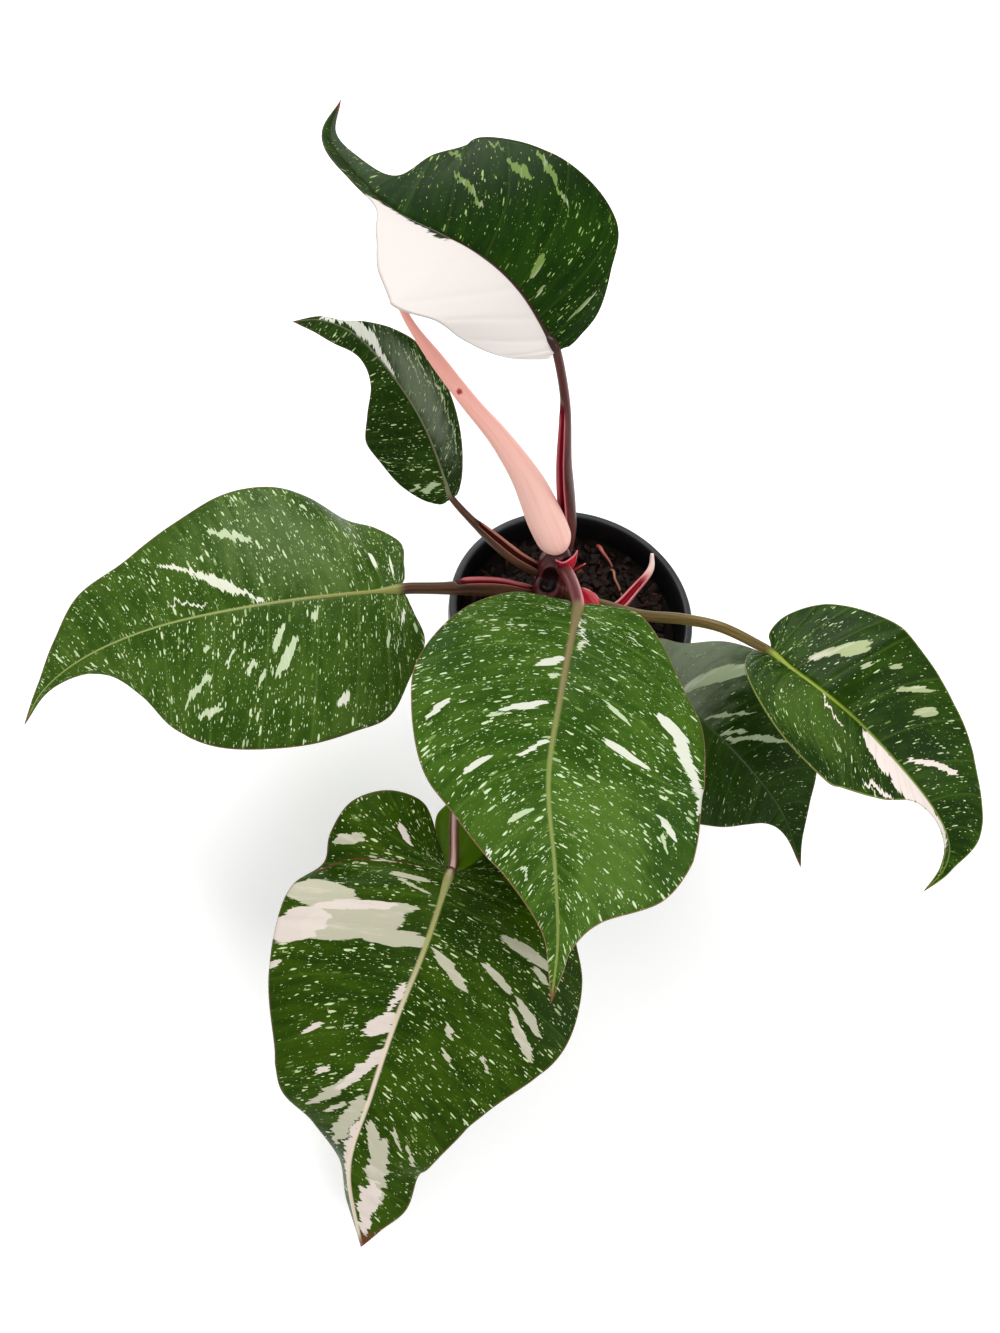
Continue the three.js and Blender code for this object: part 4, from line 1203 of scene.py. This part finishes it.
def buildPot():
    height, rim, wall = potForm["height"], potForm["rimRadius"], potForm["wall"]
    base, drop = potForm["baseRadius"], potForm["rimDrop"]
    foot, bevel, floor = potForm["footBevel"], potForm["rimBevel"], potForm["floor"]
    lip = height - wall
    deep = height - potForm["rimDepth"]
    inside = rim - potForm["rimWidth"]
    bm = bmesh.new()
    spinProfile(bm, [
        (0, 0), (base - foot, 0), (base, foot), (innerRadius(lip) + wall, lip), (rim - wall, lip),
        (rim - wall, height - drop), (rim, height - drop), (rim, height - 1.0), (rim - bevel, height),
        (inside + bevel, height), (inside, height - bevel), (innerRadius(deep), deep),
        (innerRadius(floor + 2), floor + 2), (innerRadius(floor) - 1.2, floor), (0, floor),
    ], potForm["sides"])
    bevelSharp(bm, 0.3)
    return bm


def potMaterial():
    material, tree, surface = newMaterial("charcoal_plastic")
    solid = objectPlace(tree)
    haze = noiseOn(tree, solid, detail=4, scale=40)
    colour = blended(tree, fade(tree, haze, 0.3, 0.7), *potForm["tones"])
    dust = fade(tree, noiseOn(tree, solid, detail=2, scale=420), 0.66, 0.74)
    colour = tinted(tree, colour, dust, potForm["dust"], potForm["dustShare"])
    axes = addNode(tree, "SeparateXYZ", {0: solid}).outputs
    # the inner wall is painted near black as shade; the outer side keeps the plastic's tones and dust
    squares = [calc(tree, "POWER", axes[key], 2.0) for key in ("X", "Y")]
    away = calc(tree, "SQRT", calc(tree, "ADD", *squares))
    slope = (innerRadius(potForm["height"]) - innerRadius(0)) / potForm["height"]
    wall = calc(tree, "MULTIPLY_ADD", axes["Z"], slope, innerRadius(0) * mm)
    outer = fade(tree, calc(tree, "SUBTRACT", away, wall), 0.0002, 0.0009)
    colour = mixed(tree, outer, toLinear(potForm["inside"]), colour)
    rough = ranged(tree, haze, *potForm["roughness"])
    setSurface(tree, surface, colour, rough, potForm["specular"])
    bump(tree, surface, noiseOn(tree, solid, detail=2, scale=900), 0.2, 0.0002)
    return material


# drain holes, cut by drills that are removed again
def cutHoles(piece):
    bm = bmesh.new()
    for k in range(potForm["holes"]):
        angle = 2 * math.pi * (k + 0.5) / potForm["holes"]
        spot = (potForm["holeCircle"] * math.cos(angle), potForm["holeCircle"] * math.sin(angle), 1)
        bmesh.ops.create_cone(bm, cap_ends=True, segments=40, radius1=potForm["holeRadius"],
                              radius2=potForm["holeRadius"], depth=8, matrix=Matrix.Translation(spot))
    bmesh.ops.scale(bm, vec=(mm, mm, mm), verts=bm.verts)
    mesh = bpy.data.meshes.new("drills")
    bm.to_mesh(mesh)
    bm.free()
    drills = bpy.data.objects.new("drills", mesh)
    bpy.context.scene.collection.objects.link(drills)
    cut = piece.modifiers.new("holes", "BOOLEAN")
    cut.operation = "DIFFERENCE"
    cut.object = drills
    bpy.context.view_layer.update()
    done = piece.evaluated_get(bpy.context.evaluated_depsgraph_get())
    piece.data = bpy.data.meshes.new_from_object(done)
    piece.modifiers.clear()
    bpy.data.objects.remove(drills)


pot = finishPiece("nursery_pot", buildPot(), [potMaterial()], ["pot"])
cutHoles(pot)
print("pot built")

# potting mix

mixForm = {
    "top": 83, "gap": 0.35, "sides": 128, "rings": 36,
    "lumps": ((0.09, 1.8), (0.28, 1.3), (0.8, 0.6)),  # the scale of each noise and its height
    "specular": 0.1,
    "tones": ((6, 4, 3), (24, 15, 10), (60, 44, 30)),  # dark, light and fleck
    "roughness": 0.9,
}
# loose crumbs, drawn at random from a seed; sizes are the ranges of their three sides
crumbs = {
    "bark_chips": {
        "count": 460, "seed": 7, "sizes": [(3, 9), (2, 5.5), (0.8, 2.6)], "material": "bark",
        "tones": ((13, 8, 6), (40, 25, 18), (84, 62, 46)), "roughness": 0.5,
    },
    "red_chips": {
        "count": 46, "seed": 9, "sizes": [(2, 6), (1.2, 3), (0.6, 1.8)], "material": "red_bark",
        "tones": ((44, 20, 12), (92, 48, 30), (130, 84, 58)), "roughness": 0.6,
    },
    "perlite_bits": {
        "count": 7, "seed": 8, "sizes": [(1.0, 2.2)] * 3, "material": "perlite",
        "tones": ((150, 142, 130), (206, 198, 188), (230, 226, 220)), "roughness": 0.8,
    },
}


def soilHeight(x, y):
    spot = Vector((x, y, 0))
    lumps = sum(noise.noise(spot * scale) * height for scale, height in mixForm["lumps"])
    return mixForm["top"] + lumps


def buildMix():
    bm = bmesh.new()
    edge = innerRadius(mixForm["top"]) - mixForm["gap"]
    low = potForm["floor"] + mixForm["gap"]
    profile = [(0, low), (innerRadius(low) - 2.5, low), (innerRadius(low + 3) - mixForm["gap"], low + 3)]
    profile += [(edge * k / mixForm["rings"], mixForm["top"]) for k in range(mixForm["rings"], -1, -1)]
    spinProfile(bm, profile, mixForm["sides"])
    for vert in bm.verts:
        if vert.co.z > mixForm["top"] - 0.5:
            vert.co.z = soilHeight(vert.co.x, vert.co.y) - 0.6
    return bm


def mixMaterial(name, tones, roughness):
    dark, light, fleck = tones
    material, tree, surface = newMaterial(name)
    solid = objectPlace(tree)
    grain = noiseOn(tree, solid, detail=6, roughness=0.7, scale=260)
    colour = blended(tree, fade(tree, grain, 0.35, 0.7), dark, light)
    bits = fade(tree, noiseOn(tree, solid, detail=2, scale=900), 0.68, 0.74)
    colour = tinted(tree, colour, bits, fleck, 0.5)
    setSurface(tree, surface, colour, roughness, mixForm["specular"])
    bump(tree, surface, noiseOn(tree, solid, detail=5, roughness=0.7, scale=700), 0.7, 0.0008)
    return material


def buildChips(count, sizes, seed):
    picker = random.Random(seed)
    bm = bmesh.new()
    for _ in range(count):
        reach = (innerRadius(mixForm["top"]) - 4) * math.sqrt(picker.random())
        angle = picker.uniform(0, 2 * math.pi)
        x, y = reach * math.cos(angle), reach * math.sin(angle)
        size = [picker.uniform(*pair) for pair in sizes]
        turn = Matrix.Rotation(picker.uniform(0, 6.3), 4, "Z")
        tilts = [Matrix.Rotation(picker.gauss(0, 0.35), 4, axis) for axis in ("X", "Y")]
        turn @= tilts[0] @ tilts[1]
        place = Matrix.Translation((x, y, soilHeight(x, y) - 0.2)) @ turn @ Matrix.Diagonal((*size, 1))
        chip = bmesh.ops.create_cube(bm, size=1, matrix=place)["verts"]
        for vert in chip:
            vert.co += Vector([picker.uniform(-0.2, 0.2) * min(size) for _ in range(3)])
        edges = list({edge for vert in chip for edge in vert.link_edges})
        bmesh.ops.bevel(bm, geom=edges, offset=0.22 * min(size), segments=1, profile=0.5,
                        affect="EDGES", material=-1)
    return bm


finishPiece("mix_bed", buildMix(), [mixMaterial("dark_mix", mixForm["tones"], mixForm["roughness"])],
            ["potting_mix"])
for crumbName, crumb in crumbs.items():
    chips = buildChips(crumb["count"], crumb["sizes"], crumb["seed"])
    material = mixMaterial(crumb["material"], crumb["tones"], crumb["roughness"])
    finishPiece(crumbName, chips, [material])

# thin roots that show at the surface
surfaceRoots = {
    "pink_root": {
        "path": [(7.5, 50, 83), (8.7, 47.1, 85.6), (10.8, 43.5, 86.6), (14.7, 40.9, 84.6), (17, 39, 82.5)],
        "radius": [0.9, 1.1, 0.8, 0.6, 0.5],
    },
    "tan_root": {
        "path": [(16.6, 37, 82.8), (17.8, 34, 85.8), (19, 29.4, 86.2), (21.8, 25.8, 85), (24.5, 22, 83)],
        "radius": [0.7, 0.7, 0.6, 0.6, 0.5],
    },
}
rootLooks = {
    "pink_root": {"dark": (150, 70, 62), "light": (206, 120, 108), "lip": (230, 170, 160)},
    "tan_root": {"dark": (140, 90, 66), "light": (190, 136, 104), "lip": (220, 180, 150)},
}
for rootName, root in surfaceRoots.items():
    buildRod(rootName, root, [stalkMaterial(rootName, rootLooks[rootName])], [])
print("potting mix built")

# stem

stemForm = {
    "voxel": 0.6,
    "smoothing": 12,
    "hollow": (-15, -2.5, 117),  # the oldest sheath's open top, painted on the solid stem as a dark spot of shade inside a lighter rim, and its half sizes
    "hollowSize": (5, 4, 8.5),
    "paintedHollowShade": (30, 8, 10),
    "rim": (104, 38, 42),
    "rimShare": 0.5,
    "tones": ((50, 16, 18), (86, 34, 34)),
    "roughness": 0.32,
    "specular": 0.3,
}


def stemMaterial():
    material, tree, surface = newMaterial("stem_skin")
    solid = objectPlace(tree)
    streaks = noiseOn(tree, scaled(tree, solid, (260, 260, 40)), detail=3)
    colour = blended(tree, fade(tree, streaks, 0.3, 0.7), *stemForm["tones"])
    middle, half = ([c * mm for c in stemForm[key]] for key in ("hollow", "hollowSize"))
    away = spotDistance(tree, solid, middle, half)
    rim = fadeOut(tree, away, 1.22, 1.5)
    colour = tinted(tree, colour, rim, stemForm["rim"], stemForm["rimShare"])
    # the opening painted as a dark spot of shade
    colour = tinted(tree, colour, fadeOut(tree, away, 1.02, 1.14), stemForm["paintedHollowShade"])
    setSurface(tree, surface, colour, stemForm["roughness"], stemForm["specular"])
    bump(tree, surface, streaks, 0.1, 0.0003)
    return material


# the stem's solid with its facets smoothed away
def buildStem():
    bm = bmesh.new()
    bm.from_mesh(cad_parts["stem"].data)
    bmesh.ops.remove_doubles(bm, verts=bm.verts, dist=0.00001)
    bmesh.ops.scale(bm, vec=(1 / mm, 1 / mm, 1 / mm), verts=bm.verts)
    piece = finishPiece("stem_skin", bm, [stemMaterial()], ["stem"])
    remesh = piece.modifiers.new("remesh", "REMESH")
    remesh.mode = "VOXEL"
    remesh.voxel_size = stemForm["voxel"] * mm
    remesh.use_smooth_shade = True
    soften = piece.modifiers.new("soften", "SMOOTH")
    soften.iterations = stemForm["smoothing"]


buildStem()
print("stem built")

# floor

bpy.ops.mesh.primitive_plane_add(size=8)
floorPiece = bpy.context.object
floorPiece.name = "floor"
floorMaterial, floorTree, floorSurface = newMaterial("pale_floor")
floorSurface.inputs["Base Color"].default_value = (0.9, 0.9, 0.9, 1)
floorSurface.inputs["Roughness"].default_value = 0.9
floorSurface.inputs["Emission Color"].default_value = (1, 1, 1, 1)
floorSurface.inputs["Emission Strength"].default_value = 0.32  # keeps soft shadows near white
floorPiece.data.materials.append(floorMaterial)
print("floor laid")
